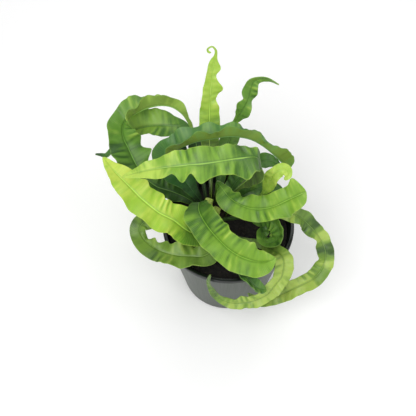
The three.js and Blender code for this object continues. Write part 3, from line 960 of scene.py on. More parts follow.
@dataclass
class Frond(Growth):
    """One strap-shaped leaf, from its stalk in the crown to its tip."""

    name: str
    slot: str
    green: Green
    ring: Ring
    bearing: float
    path: list[tuple[float, float, float]]
    twist: list[float]
    fold: list[float]
    half_width: float
    bare: float
    wave: float
    rise: float = 0.28
    taper: float = 0.55
    point: float = 2
    tip: float = 1.2
    lobes: list[tuple[float, int, float]] = field(default_factory=list)
    pleat_length: float = 8.5
    pleat_depth: float = 0.6
    frill: float = 0.6
    # Lightness along the frond, spread evenly from foot to tip: low values are painted shade (stalk
    # bases inside the rosette, shaded bends, turned-over parts); high values are paler, partly young
    # tissue and partly painted light.
    tone: list[float] = field(default_factory=lambda: [-1.8, -0.6, -0.1, 0.0, 0.0, 0.2])
    seed: float = 0.0

    STALK_HALF_WIDTH = 2.3
    STALK_THICKNESS = 2.4
    STALK_EDGE = 1.2
    WAVE_LENGTH = 29
    WAVE_GROWTH = 1.5
    WAVE_START = {-1: 0.4, 1: 2.2}
    MIDRIB_THICKNESS = 1.7
    MARGIN_THICKNESS = 0.7
    OPENING = 0.2
    LOBE_RADIUS = 6
    STEP = 1.25
    GROOVE_DEPTH = 0.55
    GROOVE_HALF_WIDTH = 1.3
    # Half-width that is left at the very tip, as a share.
    BLUNT = 0.1
    # Pleats lean with the distance out, drift along the blade and are uneven: the amount,
    # then the length of a swing in millimetres.
    PLEAT_LEAN = 0.25
    PLEAT_DRIFT = (3.5, 30.0)
    PLEAT_MEAN = 0.55
    PLEAT_UNEVEN = (0.9, 21.0)
    PLEAT_SPREAD = (0.04, 0.5)
    # A frill is this many pleats long, and its two sides start this far, in radians, off 0.
    FRILL_LENGTH = 1.7
    FRILL_START = 3
    FRILL_DRIFT = (3, 23.0)
    FRILL_SPREAD = (0.6, 1.0)
    MARGIN_WANDER = (0.5, 9.0)
    CREST_SHARE = 0.6
    SIDES_APART = 7.3
    COLUMNS = (0.04, 0.08, 0.13, 0.19, 0.27, 0.36, 0.46, 0.56, 0.66, 0.76, 0.85, 0.93, 1.0)

    def half_width_at(self, share: float) -> float:
        """Half-width: a narrow stalk, widening to the blade, then the tip."""
        opened = smooth(self.bare, self.bare + self.rise, share)
        widened = mix(self.STALK_HALF_WIDTH, self.half_width, opened)
        beyond = max(0.0, (share - self.taper) / (1 - self.taper))
        return mix(self.tip, widened, 1 - beyond**self.point)

    def bulge(self, side: int, share: float, length: float) -> float:
        """How far a margin bulges out at a share of the length."""
        total = 0.0
        for at, edge, size in self.lobes:
            if edge == side:
                total += size * math.exp(-(((share - at) * length / self.LOBE_RADIUS) ** 2))
        return total

    def wander(self, side: int, distance: float, swing: tuple[float, float]) -> float:
        """Slow irregular number along one half of the blade, by its size and its length."""
        amount, length = swing
        spot = Vector((distance / length, self.seed + self.SIDES_APART * side, 0.5))
        return amount * (2 * noise.noise(spot))

    def cell(self, station: Station, across: float) -> Cell:
        """One point of the blade.

        Args:
            station: Its place along the midrib.
            across: Its place across, -1 to 1.

        Returns:
            The point with its thickness, its crest and its tone of painted shade and paleness.
        """
        side = -1 if across < 0 else 1
        out = abs(across)
        share, distance, length = station.share, station.distance, station.length
        turn = math.radians(along(self.twist, station.path_share))
        raised = Matrix.Rotation(turn, 3, station.tangent) @ station.up
        sideways = station.tangent.cross(raised)
        half = self.half_width_at(share)
        remaining = length - distance
        if remaining < self.tip:
            rounded = math.sqrt(max(0.0, 1 - (1 - remaining / self.tip) ** 2))
            half *= mix(self.BLUNT, 1, rounded)
        leafy = smooth(self.bare, self.bare + self.OPENING, share)
        slope = math.radians(along(self.fold, station.path_share)) * leafy
        full = leafy * half / self.half_width
        phase = 2 * math.pi * distance / self.WAVE_LENGTH + self.WAVE_START[side]
        swell = self.wave * full * out**self.WAVE_GROWTH * math.sin(phase)

        slant = distance - self.PLEAT_LEAN * out * half
        drift = self.wander(-side, distance, self.PLEAT_DRIFT)
        uneven = max(0.0, self.PLEAT_MEAN + self.wander(side, distance, self.PLEAT_UNEVEN))
        ridge = math.sin(2 * math.pi * slant / self.pleat_length + drift)
        spread = smooth(*self.PLEAT_SPREAD, out)
        pleat = self.pleat_depth * full * uneven * spread * ridge
        curl = (2 * math.pi * distance / (self.pleat_length * self.FRILL_LENGTH)
                + self.FRILL_START * side)
        frill = self.frill * full * smooth(*self.FRILL_SPREAD, out) * math.sin(
            curl + self.wander(side, distance, self.FRILL_DRIFT))
        groove = math.exp(-((out * half / self.GROOVE_HALF_WIDTH) ** 2))
        sunk = self.GROOVE_DEPTH * full * groove

        reach = out * (half + self.bulge(side, share, length)
                       + full * out * self.wander(side, distance, self.MARGIN_WANDER))
        point = station.place + sideways * (side * reach * math.cos(slope))
        point += raised * (reach * math.sin(slope) + swell + pleat + frill - sunk)
        blade = mix(self.MIDRIB_THICKNESS, self.MARGIN_THICKNESS, math.sqrt(out))
        stalk = mix(self.STALK_THICKNESS, self.STALK_EDGE, out)
        # Crest: height on the pleats and the wave, from which the leaf pattern paints light on crests
        # and shade in hollows.
        crest = full * self.CREST_SHARE * (uneven * spread * ridge + out * math.sin(phase))
        return Cell(point, mix(stalk, blade, leafy), crest, along(self.tone, share))

    def build(self) -> None:
        """Make the frond from its midrib and lay it in its node's place."""
        points = [*self.start, *(Vector(point) for point in self.path)]
        stations = Midrib(points, self.seat[1]).stations(self.STEP)
        across = [-out for out in reversed(self.COLUMNS)] + [0.0] + list(self.COLUMNS)
        rows = [[self.cell(station, place) for place in across] for station in stations]
        piece = Ribbon.build(f"leaf_{self.name}", rows, across, stations, self.green.faces)
        hand_over(piece, self.slot, f"frond_{self.name}")


@dataclass
class Crozier(Growth):
    """A young frond, still rolled up at the top of its stem."""

    name: str
    ring: Ring
    bearing: float
    top: float
    coil: float
    lean: float

    STEM_HALF_WIDTH = 2.0
    HALF_WIDTH = 4.4
    WIDENING = (0.4, 0.75)
    THICKNESS = 2.4
    TAPER = 0.35
    TURNS = 1.1
    PITCH = 3.2
    POINTS_PER_TURN = 8
    STEP = 0.7
    COLUMNS = 12
    # The section is a circle, cut off just before its edge.
    ROUNDNESS = 1.04
    TONE = (-0.2, 0.6)

    def build(self) -> None:
        """Roll the stem up, each turn inside the last."""
        lean = math.radians(self.lean)
        towards = Vector((math.cos(lean), math.sin(lean), 0))
        head = Vector((self.foot.x, self.foot.y, self.top))
        points = [*self.start, head]
        middle = head + towards * self.coil
        for number in range(1, round(self.TURNS * self.POINTS_PER_TURN) + 1):
            turned = number / self.POINTS_PER_TURN
            angle = 2 * math.pi * turned
            radius = self.coil - self.PITCH * turned
            points.append(middle - towards * (radius * math.cos(angle))
                          + Vector((0, 0, radius * math.sin(angle))))
        stations = Midrib(points, towards).stations(self.STEP)
        across = [2 * column / self.COLUMNS - 1 for column in range(self.COLUMNS + 1)]
        rows = []
        for station in stations:
            slim = 1 - self.TAPER * station.share
            sideways = station.tangent.cross(station.up)
            half = mix(self.STEM_HALF_WIDTH, self.HALF_WIDTH,
                       smooth(*self.WIDENING, station.share))
            rows.append([
                Cell(station.place + sideways * (place * half),
                     self.THICKNESS * slim * math.sqrt(self.ROUNDNESS - place * place),
                     0.0, mix(*self.TONE, station.share))
                for place in across
            ])
        piece = Ribbon.build(f"bud_{self.name}", rows, across, stations, Green.BUD.faces)
        hand_over(piece, "bud", f"crozier_{self.name}")


FRONDS = [
    Frond(
        "upright", "leaf_yellow", Green.YELLOW, Ring.MIDDLE, 100,
        [(-20, 31, 138), (-21, 54, 155), (-22, 81, 176), (-22, 93, 192), (-21, 107, 215),
         (-19, 119, 235), (-17, 127, 248), (-15, 130, 255), (-15, 131, 261),
         (-19, 131, 266), (-24, 130, 263), (-23, 129, 260), (-20, 129, 259)],
        [0], [12], half_width=13.5, bare=0.25, wave=2.5, taper=0.48, point=1.2,
        lobes=[(0.66, 1, -3), (0.72, 1, 5), (0.78, 1, -2.5), (0.82, 1, 3.5), (0.88, -1, -2.4),
               (0.88, 1, -2.4), (0.92, -1, -2), (0.92, 1, -2), (0.955, -1, -1.3), (0.955, 1, -1.3)],
        tone=[-2.2, -2.2, -2.2, -2.0, -0.8, 0.2, 0.2, -0.1, -0.2], seed=1.1,
    ),
    Frond(
        "corkscrew", "leaf_mid", Green.MID, Ring.MIDDLE, 55,
        [(-8, 50, 140), (0, 81, 158), (5, 93, 167), (9, 103, 175), (17, 105, 195), (22, 110, 205),
         (25, 115, 218), (28, 117, 227), (37, 117, 231), (46, 116, 230), (56, 116, 222)],
        [0, 0, 30, 30, 33, 55, 90], [12, 12, 12, 14, 20, 20, 20, 20, 15, 15, 15],
        half_width=11, bare=0.1, wave=1.0, taper=0.74, point=1,
        lobes=[(0.56, -1, -7), (0.56, 1, -7), (0.605, -1, -6), (0.605, 1, -4), (0.65, -1, -3),
               (0.725, -1, -5), (0.73, 1, -6)],
        pleat_depth=0.3, frill=0.3, tone=[-2.0, -1.2, -0.5, 0.2, 0.3, 0.2, 0.5], seed=2.2,
    ),
    Frond(
        "left_ring", "leaf_mid", Green.MID, Ring.OUTER, 165,
        [(-46, 30, 119), (-64, 35, 127), (-83, 37, 135), (-98, 47, 142), (-110, 64, 151),
         (-116, 76, 157), (-121, 84, 163), (-123, 91, 169), (-122, 98, 174),
         (-116, 104, 179), (-107, 107, 184), (-95, 111, 188), (-79, 114, 190),
         (-65, 114, 187), (-53, 109, 180), (-46, 102, 172), (-41, 96, 163)],
        [0, 0, 0, 0, 0, 0, -12, -20, -26, -32, -45, -65, -100, -125, -132, -135, -130,
         -120, -110],
        [20, 20, 25, 35, 45, 45, 40], half_width=19, bare=0.03, wave=4.0, rise=0.25,
        taper=0.62, point=1.7,
        lobes=[(0.38, -1, 5), (0.43, -1, 6), (0.465, -1, 6), (0.495, -1, 6), (0.525, -1, 4),
               (0.55, -1, 1), (0.7, -1, 1), (0.725, -1, 6), (0.75, -1, 3), (0.4, 1, -4),
               (0.44, 1, 4), (0.485, 1, -3), (0.515, 1, 3), (0.55, 1, 1), (0.77, 1, -3), (0.81, 1, 3)],
        tone=[-2.6, -1.2, -0.5, -0.4, 0.0, 0.5, 0.7, 0.2], seed=3.3,
    ),
    Frond(
        "left_back", "leaf_dark", Green.DARK, Ring.OUTER, 118,
        [(-32, 63, 133), (-37, 86, 146), (-43, 105, 154), (-52, 110, 158), (-66, 108, 160),
         (-80, 108, 160), (-98, 109, 156), (-119, 108, 146), (-132, 106, 132),
         (-140, 103, 120), (-148, 100, 112), (-156, 103, 110), (-163, 105, 109)],
        [0], [30], half_width=19, bare=0.41, wave=2.5, rise=0.16, taper=0.58, point=0.85,
        lobes=[(0.33, 1, 8), (0.33, -1, 8), (0.6, 1, 1), (0.625, 1, 3), (0.65, 1, 5),
               (0.675, 1, 5), (0.7, 1, 4)],
        tone=[-2.0, -1.6, -1.2, -0.2, 0.7, 0.9, 0.4, -0.6], seed=4.4,
    ),
    Frond(
        "left_lime", "leaf_lime", Green.LIME, Ring.MIDDLE, 200,
        [(-36, -6, 122), (-42, -24, 133), (-49, -25, 141), (-62, -18, 149), (-77, -13, 156),
         (-95, -2, 165), (-113, 13, 175), (-128, 25, 185), (-139, 37, 192)],
        [0, 0, 20, 10, 0, -15, -20, -20, -20, -20, -20], [14],
        half_width=22, bare=0.08, wave=3.5, taper=0.62,
        lobes=[(0.5, 1, -4), (0.57, 1, -7), (0.64, 1, -2), (0.7, 1, -6), (0.78, 1, -3)],
        tone=[-2.0, -1.6, -0.9, 0.2, 0.4, 0.5, 0.6], seed=5.5,
    ),
    Frond(
        "top_arch", "leaf_olive", Green.TEAL, Ring.MIDDLE, 148,
        [(-44, 37, 132), (-61, 54, 150), (-66, 59, 168), (-54, 58, 182), (-39, 58, 192),
         (-21, 58, 198), (2, 61, 199), (24, 65, 189), (38, 64, 179), (48, 60, 172),
         (58, 54, 165), (69, 46, 158)],
        [0, 0, 0, -60, -100, -147, -160, -165, -171, -181, -180, -180, -178, -176],
        [20, 30, 50, 54, 54, 50], half_width=20, bare=0.05, wave=3.0, taper=0.38,
        point=1.2, tip=8,
        lobes=[(0.43, 1, 4), (0.77, 1, -3), (0.82, 1, -4), (0.86, 1, -5), (0.89, 1, -1),
               (0.93, 1, 7), (0.96, 1, 6.5), (0.99, 1, 4)],
        tone=[-2.6, -1.2, 0.0, 0.1, 0.4, 0.6], seed=6.6,
    ),
    Frond(
        "front_broad", "leaf_bright", Green.BRIGHT, Ring.MIDDLE, 245,
        [(-30, 7, 130), (-33, 6, 148), (-33, -12, 157), (-24, -31, 157), (-13, -44, 153),
         (0, -56, 149), (13, -62, 144), (26, -65, 141), (38, -66, 141), (50, -63, 143)],
        [0, 10, 22, 35, 45, 50, 53, 53, 50, 47, 47], [15, 20, 28, 32, 32, 32, 25],
        half_width=20, bare=0.22, wave=4.0, rise=0.26, taper=0.8, point=3,
        lobes=[(0.54, -1, 1), (0.61, -1, 3), (0.69, -1, 1), (0.76, -1, 4), (0.82, -1, 6),
               (0.89, -1, -3)],
        tone=[-2.0, -1.8, -1.1, -0.6, -0.1, 0.1, 0.2], seed=7.7,
    ),
    Frond(
        "over_crown", "leaf_bright", Green.BRIGHT, Ring.INNER, 350,
        [(6, 19, 150), (21, 14, 182), (31, 14, 205), (28, 14, 221), (10, 8, 228),
         (-21, 1, 229), (-54, -1, 226), (-84, 0, 218), (-114, 0, 206)],
        [190], [12], half_width=18.5, bare=0.24, wave=2.8, rise=0.2, taper=0.72, point=1.4,
        lobes=[(0.41, 1, -6), (0.44, 1, -7), (0.47, 1, -8), (0.5, 1, -8), (0.53, 1, -4),
               (0.57, 1, -4), (0.61, 1, -3), (0.43, -1, -5), (0.46, -1, -4), (0.55, -1, 9),
               (0.65, -1, -2), (0.705, -1, 6), (0.735, -1, -8.5), (0.765, -1, 4), (0.8, -1, -7)],
        tone=[-2.2, -1.8, -1.2, -1.1, -0.9, -0.4, 0.1, 0.7, 1.0], seed=8.8,
    ),
    Frond(
        "right_cradle", "leaf_bright", Green.BRIGHT, Ring.INNER, 80,
        [(-13, 28, 140), (-12, 27, 158), (-8, 15, 165), (2, 3, 161), (18, -5, 156),
         (34, -7, 155), (49, -5, 157), (62, -1, 162), (73, 1, 168), (84, 4, 173)],
        [20, 20, 10, -40, -110, -125, -132, -132, -132, -130, -128, -125], [22],
        half_width=16, bare=0.36, wave=4.0, rise=0.16, taper=0.84, point=4, tip=6,
        lobes=[(0.44, -1, -3), (0.5, -1, -8), (0.57, -1, -7), (0.965, -1, 9), (0.85, 1, 4)],
        tone=[-2.0, -2.0, -1.2, -0.5, -0.1, 0.1, 0.2], seed=9.9,
    ),
    Frond(
        "young_hook", "leaf_yellow", Green.YELLOW, Ring.MIDDLE, 357,
        [(-5, 21, 119), (6, 20, 129), (20, 17, 139), (32, 14, 146), (39, 14, 156), (43, 14, 168),
         (45, 15, 181), (49, 15, 192), (55, 16, 197), (61, 16, 196), (63, 12, 191),
         (59, 10, 187)],
        [0, 0, 20, 40, 45, 55, 55, 60, 65, 62, 55, 55, 65, 75], [10],
        half_width=8.2, bare=0.54, wave=2.6, rise=0.16, taper=0.8, point=2, frill=1.1,
        tone=[-2.0, -2.0, -2.0, -1.4, 0.2, 0.4, 0.5], seed=11.1,
    ),
    Frond(
        "right_sweep", "leaf_mid", Green.OLIVE, Ring.OUTER, 342,
        [(13, 11, 130), (37, 3, 142), (69, -3, 141), (83, -7, 134), (93, -12, 126),
         (103, -21, 117), (110, -32, 108), (110, -40, 100), (106, -49, 92),
         (98, -56, 85), (86, -60, 78), (75, -63, 73), (62, -66, 65), (45, -70, 60),
         (30, -74, 66), (22, -75, 84)],
        [0, 0, 0, 20, 40, 10, 45, 0, 50, 30, 60, 62, 64, 65, 65, 65, 60, 50], [16],
        half_width=10.5, bare=0.1, wave=3.0, taper=0.8,
        # The dips in this list are painted shade where the blade turns its shaded face.
        tone=[-1.8, -1.2, -0.8, -0.6, -0.4, 0.1, 0.4, 0.8, -0.4, -0.7, 0.9, -0.8, 0.9,
              0.2, 0.9, 0.9, 0.5, 0.5, 0.3, 0.1, -0.2], seed=12.2,
    ),
    Frond(
        "front_strap", "leaf_mid", Green.OLIVE, Ring.OUTER, 288,
        [(-4, -6, 107), (13, -16, 107), (30, -22, 108), (43, -27, 109), (51, -37, 114),
         (57, -46, 121), (60, -54, 123), (60, -62, 118), (58, -68, 111),
         (52, -73, 103), (42, -79, 88), (22, -82, 76), (4, -82, 74), (-10, -80, 82),
         (-19, -78, 98), (-23, -77, 116), (-21, -76, 130)],
        [0, 30, 40, 43, 43, 41, 29, 13, 0, -2, 3, 3, 8, 12, 12, 4, -15, -40, -60], [18],
        half_width=10.5, bare=0.15, wave=2.5, taper=0.45, point=1.3,
        lobes=[(0.71, 1, 5)],
        tone=[-1.8, -0.8, 0.2, 0.8, 0.9, 0.6, -0.1, -0.6], seed=13.3,
    ),
    Frond(
        "left_coil", "leaf_mid", Green.OLIVE, Ring.OUTER, 242,
        [(-21, 2, 115), (-16, -18, 120), (-18, -40, 123), (-29, -50, 125), (-43, -50, 125),
         (-60, -49, 126), (-76, -44, 127), (-88, -37, 128), (-96, -29, 130),
         (-100, -20, 134), (-96, -14, 138), (-88, -14, 140), (-78, -13, 136),
         (-67, -16, 132), (-57, -19, 127)],
        [0, 10, 30, 40, 40, 38, 30, 22, 20, 20, 20, 20, 20], [16],
        half_width=16, bare=0.15, wave=4.0, taper=0.5,
        lobes=[(0.43, 1, -4), (0.495, 1, -4), (0.56, 1, -5), (0.63, 1, -8), (0.69, 1, -9),
               (0.73, 1, -6), (0.77, 1, -3)],
        tone=[-1.8, -0.5, 0.1, 0.2, -0.2, -0.4, -0.4], seed=14.4,
    ),
    Frond(
        "back_right", "leaf_dark", Green.DARK, Ring.OUTER, 38,
        [(6, 38, 136), (21, 46, 153), (36, 50, 166), (49, 51, 166), (62, 48, 154)],
        [0], [14], half_width=12, bare=0.15, wave=3.0,
        lobes=[(0.64, 1, -5), (0.64, -1, -5), (0.69, 1, -6), (0.69, -1, -6)], seed=15.5,
    ),
    Frond(
        "back_left", "leaf_dark", Green.DARK, Ring.OUTER, 140,
        [(-39, 51, 123), (-49, 69, 138), (-56, 83, 149), (-64, 91, 154)],
        [0], [14], half_width=10, bare=0.3, wave=3.0,
        tone=[-2.6, -2.0, -1.6, -1.2], seed=19.9,
    ),
    Frond(
        "inner_right", "leaf_dark", Green.DARK, Ring.OUTER, 10,
        [(8, 27, 120), (22, 31, 131), (36, 32, 139), (51, 31, 142), (66, 25, 136)],
        [0], [14], half_width=12, bare=0.1, wave=3.0, seed=16.6,
    ),
    Frond(
        "curled_end", "leaf_mid", Green.MID, Ring.OUTER, 314,
        [(3, 8, 113), (25, 7, 120), (39, -2, 127), (49, -5, 128), (56, -13, 127),
         (57, -23, 124), (50, -30, 121), (42, -28, 119), (38, -20, 117), (40, -12, 115),
         (47, -12, 113)],
        [0, 60, 90, 100, 105, 105, 100, 90, 85, 90, 115, 145, 170], [16],
        half_width=11.5, bare=0.2, wave=1.5, taper=0.8, point=2, tip=4,
        tone=[-1.8, -1.0, -0.4, 0.0, -0.1, -0.5], seed=17.7,
    ),
    Frond(
        "under_front", "leaf_dark", Green.DARK, Ring.OUTER, 262,
        [(-11, -14, 108), (-2, -38, 110), (13, -60, 118), (20, -75, 120), (29, -82, 113),
         (41, -83, 107)],
        [0], [16], half_width=11, bare=0.1, wave=2.5, taper=0.8, tip=3, seed=18.8,
    ),
]

CROZIERS = [
    Crozier("tall", Ring.INNER, 235, 138, 5.0, 250),
    Crozier("short", Ring.MIDDLE, 308, 125, 4.2, 240),
]


# ---------------------------------------------------------------- pot and soil


@dataclass
class Pot:
    """A 6-inch nursery pot with a thin tapered wall and a rolled rim."""

    height: float = 114
    rim_radius: float = 76
    base_radius: float = 53
    wall: float = 1.6
    floor: float = 2.4
    lip_depth: float = 5
    lip_overhang: float = 2.4
    lip_shoulder: float = 1.5
    lip_flare: float = 0.5
    edge_rounding: float = 0.7
    base_rounding: float = 3
    holes: int = 8
    hole_radius: float = 4.5
    hole_circle: float = 40
    sides: int = 192
    # The outer wall, the rim and the inside are one dark-green plastic: the wall's lighter grey is
    # painted sheen from the lights, and the near-black rim and inside are painted shade.
    outside: PlasticFinish = PlasticFinish(
        "pot_outside", paint(42, 53, 41), paint(73, 85, 69), 0.42, 0.45)
    inside: PlasticFinish = PlasticFinish(
        "pot_inside_and_rim", paint(5, 13, 11), paint(22, 35, 31), 0.34, 0.2)

    # Degrees: an edge sharper than this is rounded, and after that is shaded crisp.
    SHARP, CRISP = 35, 40
    # How far under the lip the wall's grey, lifted by painted sheen, ends.
    PAINT_GAP = 0.3

    def wall_radius(self, height: float) -> float:
        """Outer radius of the wall at a height, under the lip."""
        return mix(self.base_radius, self.rim_radius - self.lip_overhang,
                   height / self.height)

    def build(self) -> None:
        """Spin the wall, round its edges, cut the drain holes and dress it."""
        lip_foot = self.height - self.lip_depth
        shoulder = lip_foot - self.lip_shoulder
        inner = self.wall_radius(self.height) - self.wall
        profile = [
            (0, 0),
            (self.base_radius - self.base_rounding, 0),
            (self.wall_radius(self.base_rounding), self.base_rounding),
            (self.wall_radius(shoulder), shoulder),
            (self.wall_radius(lip_foot) + self.lip_flare, lip_foot),
            (self.rim_radius, lip_foot),
            (self.rim_radius, self.height),
            (inner, self.height),
            (self.wall_radius(self.floor) - self.wall, self.floor),
            (0, self.floor),
        ]
        piece = spun("nursery_pot", profile, self.sides)
        apply_modifier(piece, "BEVEL", width=self.edge_rounding * MM, segments=3,
                       limit_method="ANGLE", angle_limit=math.radians(self.SHARP))
        self.cut_holes(piece)
        self.dress(piece, lip_foot)
        hand_over(piece, "pot", "pot")

    def cut_holes(self, piece: bpy.types.Object) -> None:
        """Cut a circle of drain holes in the floor."""
        for number in range(self.holes):
            angle = 2 * math.pi * number / self.holes
            cut(piece, plain(
                "drain_cutter", bpy.ops.mesh.primitive_cylinder_add,
                vertices=24, radius=self.hole_radius * MM, depth=4 * self.floor * MM,
                location=(self.hole_circle * math.cos(angle) * MM,
                          self.hole_circle * math.sin(angle) * MM, 0)))

    def dress(self, piece: bpy.types.Object, lip_foot: float) -> None:
        """Give the outer wall its grey, lifted by painted sheen, and the rim and inside their
        near-black green, darkened by painted shade.
        """
        for finish in (self.outside, self.inside):
            piece.data.materials.append(finish.build())
        for face in piece.data.polygons:
            middle = face.center / MM
            wide = math.hypot(middle.x, middle.y)
            outer = wide > self.wall_radius(middle.z) - self.wall / 2
            low = middle.z < lip_foot - self.PAINT_GAP
            face.material_index = 0 if outer and low else 1
        smooth_faces(piece, self.CRISP)


@dataclass
class Soil:
    """Potting mix that fills the pot to just under its rim, with bark on top."""

    pot: Pot
    crown: Crown
    level: float = 101
    mound: float = 3
    gap: float = 0.35
    rings: int = 34
    sides: int = 144
    lump: float = 1.6
    room_height: float = 60
    chips: int = 150
    chip_size: float = 5.0
    mix_finish: CrumbFinish = CrumbFinish(
        "potting_mix_crumbs", paint(9, 8, 6), paint(34, 30, 22), 260.0, 1.2)
    bark_finish: CrumbFinish = CrumbFinish(
        "bark_chips", paint(14, 11, 8), paint(46, 38, 28), 420.0, 0.5)

    SEED = 21
    # Lumps of the top: their size in millimetres, then the noise's roughness, the step from
    # one size to the next and how many sizes there are, and its middle value.
    LUMP_SIZE = 9
    LUMP_NOISE = (0.8, 2.1, 4)
    LUMP_MIDDLE = 0.3
    CALM_AT_WALL = 0.7
    # Chips: how far from the wall and the crown, and how high they lie.
    WALL_ROOM, CROWN_ROOM, CHIP_LIFT = 5, 4, 0.4
    CHIP_SIZES = (0.5, 1.3)
    CHIP_FORM = (1, 0.6, 0.28)
    CHIP_ROUNDING, CHIP_ROUGHNESS, CHIP_TILT = 0.2, 0.12, 0.4
    CHIP_CRISP = 30

    def edge(self, height: float) -> float:
        """Radius of the mix at a height."""
        return self.pot.wall_radius(height) - self.pot.wall - 2 * self.gap

    def surface(self, x: float, y: float) -> float:
        """Height of the mix at a place."""
        share = min(1.0, math.hypot(x, y) / self.edge(self.level))
        bed = self.level + self.mound * (1 - share * share)
        spot = Vector((x / self.LUMP_SIZE, y / self.LUMP_SIZE, 0.3))
        rough = noise.fractal(spot, *self.LUMP_NOISE) - self.LUMP_MIDDLE
        return bed + self.lump * rough * (1 - self.CALM_AT_WALL * share**6)

    def build(self) -> None:
        """Spin the bed, roughen its top, leave room for the crown and strew bark."""
        foot = self.pot.floor + self.gap
        rim = self.edge(self.level)
        profile = [(0.0, foot), (self.edge(foot), foot)]
        for number in range(self.rings + 1):
            profile.append((rim * (1 - number / self.rings), self.level + self.mound / 2))
        piece = spun("soil_bed", profile, self.sides)
        for vertex in piece.data.vertices:
            if vertex.co.z > self.level * MM:
                x, y = vertex.co.x / MM, vertex.co.y / MM
                vertex.co.z = self.surface(x, y) * MM
        room = self.crown.bottom - self.gap + self.room_height / 2
        cut(piece, plain(
            "crown_room", bpy.ops.mesh.primitive_cylinder_add, vertices=60,
            radius=(self.crown.radius + self.gap) * MM, depth=self.room_height * MM,
            location=(self.crown.x * MM, self.crown.y * MM, room * MM)))
        piece.data.materials.append(self.mix_finish.build())
        smooth_faces(piece, CREASE)
        hand_over(piece, "soil", "potting_mix")
        self.strew_bark()

    def strew_bark(self) -> None:
        """Lay chips of bark on the mix, clear of the crown and the wall."""
        draw = random.Random(self.SEED)
        pattern = plain("chip", bpy.ops.mesh.primitive_cube_add, size=1)
        apply_modifier(pattern, "BEVEL", width=self.CHIP_ROUNDING, segments=1)
        pattern.data.materials.append(self.bark_finish.build())
        spread = self.edge(self.level) - self.WALL_ROOM
        copies = []
        while len(copies) < self.chips:
            angle = draw.uniform(0, 2 * math.pi)
            distance = spread * math.sqrt(draw.uniform(0, 1))
            x, y = distance * math.cos(angle), distance * math.sin(angle)
            near = math.hypot(x - self.crown.x, y - self.crown.y)
            if near < self.crown.radius + self.CROWN_ROOM:
                continue
            copies.append(self.copy_chip(pattern, x, y, draw))
        piece = joined("bark", pattern, copies)
        smooth_faces(piece, self.CHIP_CRISP)
        hand_over(piece, "soil")

    def copy_chip(self, pattern: bpy.types.Object, x: float, y: float,
                  draw: random.Random) -> bpy.types.Object:
        """Copy of the chip, roughened and turned its own way.

        Args:
            pattern: The chip to copy.
            x: Where it lies, to the right.
            y: Where it lies, away from the viewer.
            draw: The soil's own run of random numbers.

        Returns:
            The copy, with its place in its mesh.
        """
        copy = twin(pattern)
        rough, tilt = self.CHIP_ROUGHNESS, self.CHIP_TILT
        for vertex in copy.data.vertices:
            vertex.co += Vector([draw.uniform(-rough, rough) for _ in range(3)])
        size = self.chip_size * draw.uniform(*self.CHIP_SIZES) * MM
        copy.data.transform(
            Matrix.Translation(Vector((x, y, self.surface(x, y) + self.CHIP_LIFT)) * MM)
            @ Matrix.Rotation(draw.uniform(0, 2 * math.pi), 4, "Z")
            @ Matrix.Rotation(draw.uniform(-tilt, tilt), 4, "X")
            @ Matrix.Diagonal([size * share for share in self.CHIP_FORM] + [1]))
        return copy


# ---------------------------------------------------------------- the studio


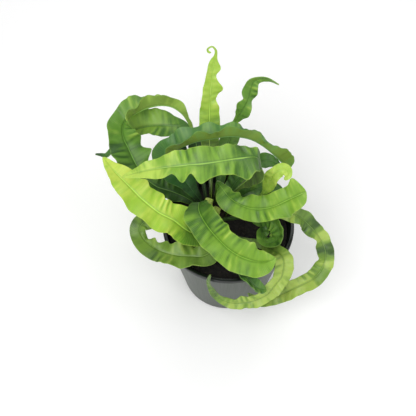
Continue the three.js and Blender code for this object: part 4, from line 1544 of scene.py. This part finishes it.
@dataclass
class Studio:
    """Pale floor, soft lights and the camera."""

    elevation: float = 56.4
    distance: float = 900
    lens: float = 66.5
    aim: tuple[float, float, float] = (-23.5, 21.3, 114.5)

    # Each light's name, place and side in metres, and power in watts.
    LIGHTS = (
        ("key", (-0.5, -0.9, 1.5), 1.3, 21.0),
        ("fill", (1.0, -0.5, 1.0), 1.2, 5.0),
        ("back", (0.1, 1.1, 1.2), 1.0, 6.0),
    )
    SKY_STRENGTH = 0.45
    # The floor's side and how far under the pot it lies, in metres.
    FLOOR_SIZE, FLOOR_DROP = 8, 0.0002
    FLOOR_TONES = ((0.95, 0.95, 0.95, 1), (0.98, 0.98, 0.98, 1))

    def build(self) -> None:
        """Set the floor, the lights, the sky and the camera."""
        self.lay_floor()
        for light in self.LIGHTS:
            self.light(*light)
        world = bpy.data.worlds.new("studio")
        world.use_nodes = True
        sky = next(n for n in world.node_tree.nodes if n.type == "BACKGROUND")
        set_inputs(sky, {"Color": (1, 1, 1, 1), "Strength": self.SKY_STRENGTH})
        bpy.context.scene.world = world
        bpy.context.scene.view_settings.view_transform = "Standard"
        self.place_camera()

    def lay_floor(self) -> None:
        """Lay the pale floor."""
        floor = plain("floor", bpy.ops.mesh.primitive_plane_add, size=self.FLOOR_SIZE,
                      location=(0, 0, -self.FLOOR_DROP))
        material, wiring, shader = new_material("floor_paper")
        tone = wiring.grain(wiring.place(), 3.0, 2.0)
        wiring.feed(wiring.blend(tone, *self.FLOOR_TONES), shader.inputs["Base Color"])
        set_inputs(shader, {"Roughness": 0.8})
        floor.data.materials.append(material)

    def light(self, name: str, place: tuple[float, float, float], size: float,
              power: float) -> None:
        """Hang one soft square light, turned to the plant.

        Args:
            name: The light's name.
            place: Where it hangs, in metres.
            size: Its side, in metres.
            power: Its power, in watts.
        """
        lamp = bpy.data.lights.new(name, "AREA")
        lamp.size = size
        lamp.energy = power
        holder = bpy.data.objects.new(name, lamp)
        bpy.context.collection.objects.link(holder)
        holder.location = place
        towards = Vector(self.aim) * MM - Vector(place)
        holder.rotation_euler = towards.to_track_quat("-Z", "Y").to_euler()

    def place_camera(self) -> None:
        """Set the camera at the picture's viewing angle."""
        tilt = math.radians(self.elevation)
        back = Vector((0, -math.cos(tilt), math.sin(tilt)))
        lens = bpy.data.cameras.new("camera")
        lens.lens = self.lens
        lens.sensor_width = 36
        lens.clip_start = 0.01
        camera = bpy.data.objects.new("camera", lens)
        bpy.context.collection.objects.link(camera)
        camera.location = (Vector(self.aim) + back * self.distance) * MM
        camera.rotation_euler = (-back).to_track_quat("-Z", "Y").to_euler()
        bpy.context.scene.camera = camera


def main() -> None:
    """Build the pot, the soil, the crown and the fronds, then light them."""
    logging.basicConfig(level=logging.INFO, format="%(message)s")
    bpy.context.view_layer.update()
    pot = Pot()
    pot.build()
    Soil(pot, CROWN).build()
    growing = [*FRONDS, *CROZIERS]
    CROWN.build(leaf.foot for leaf in growing)
    for leaf in growing:
        leaf.build()
    Studio().build()


if __name__ == "__main__":
    main()
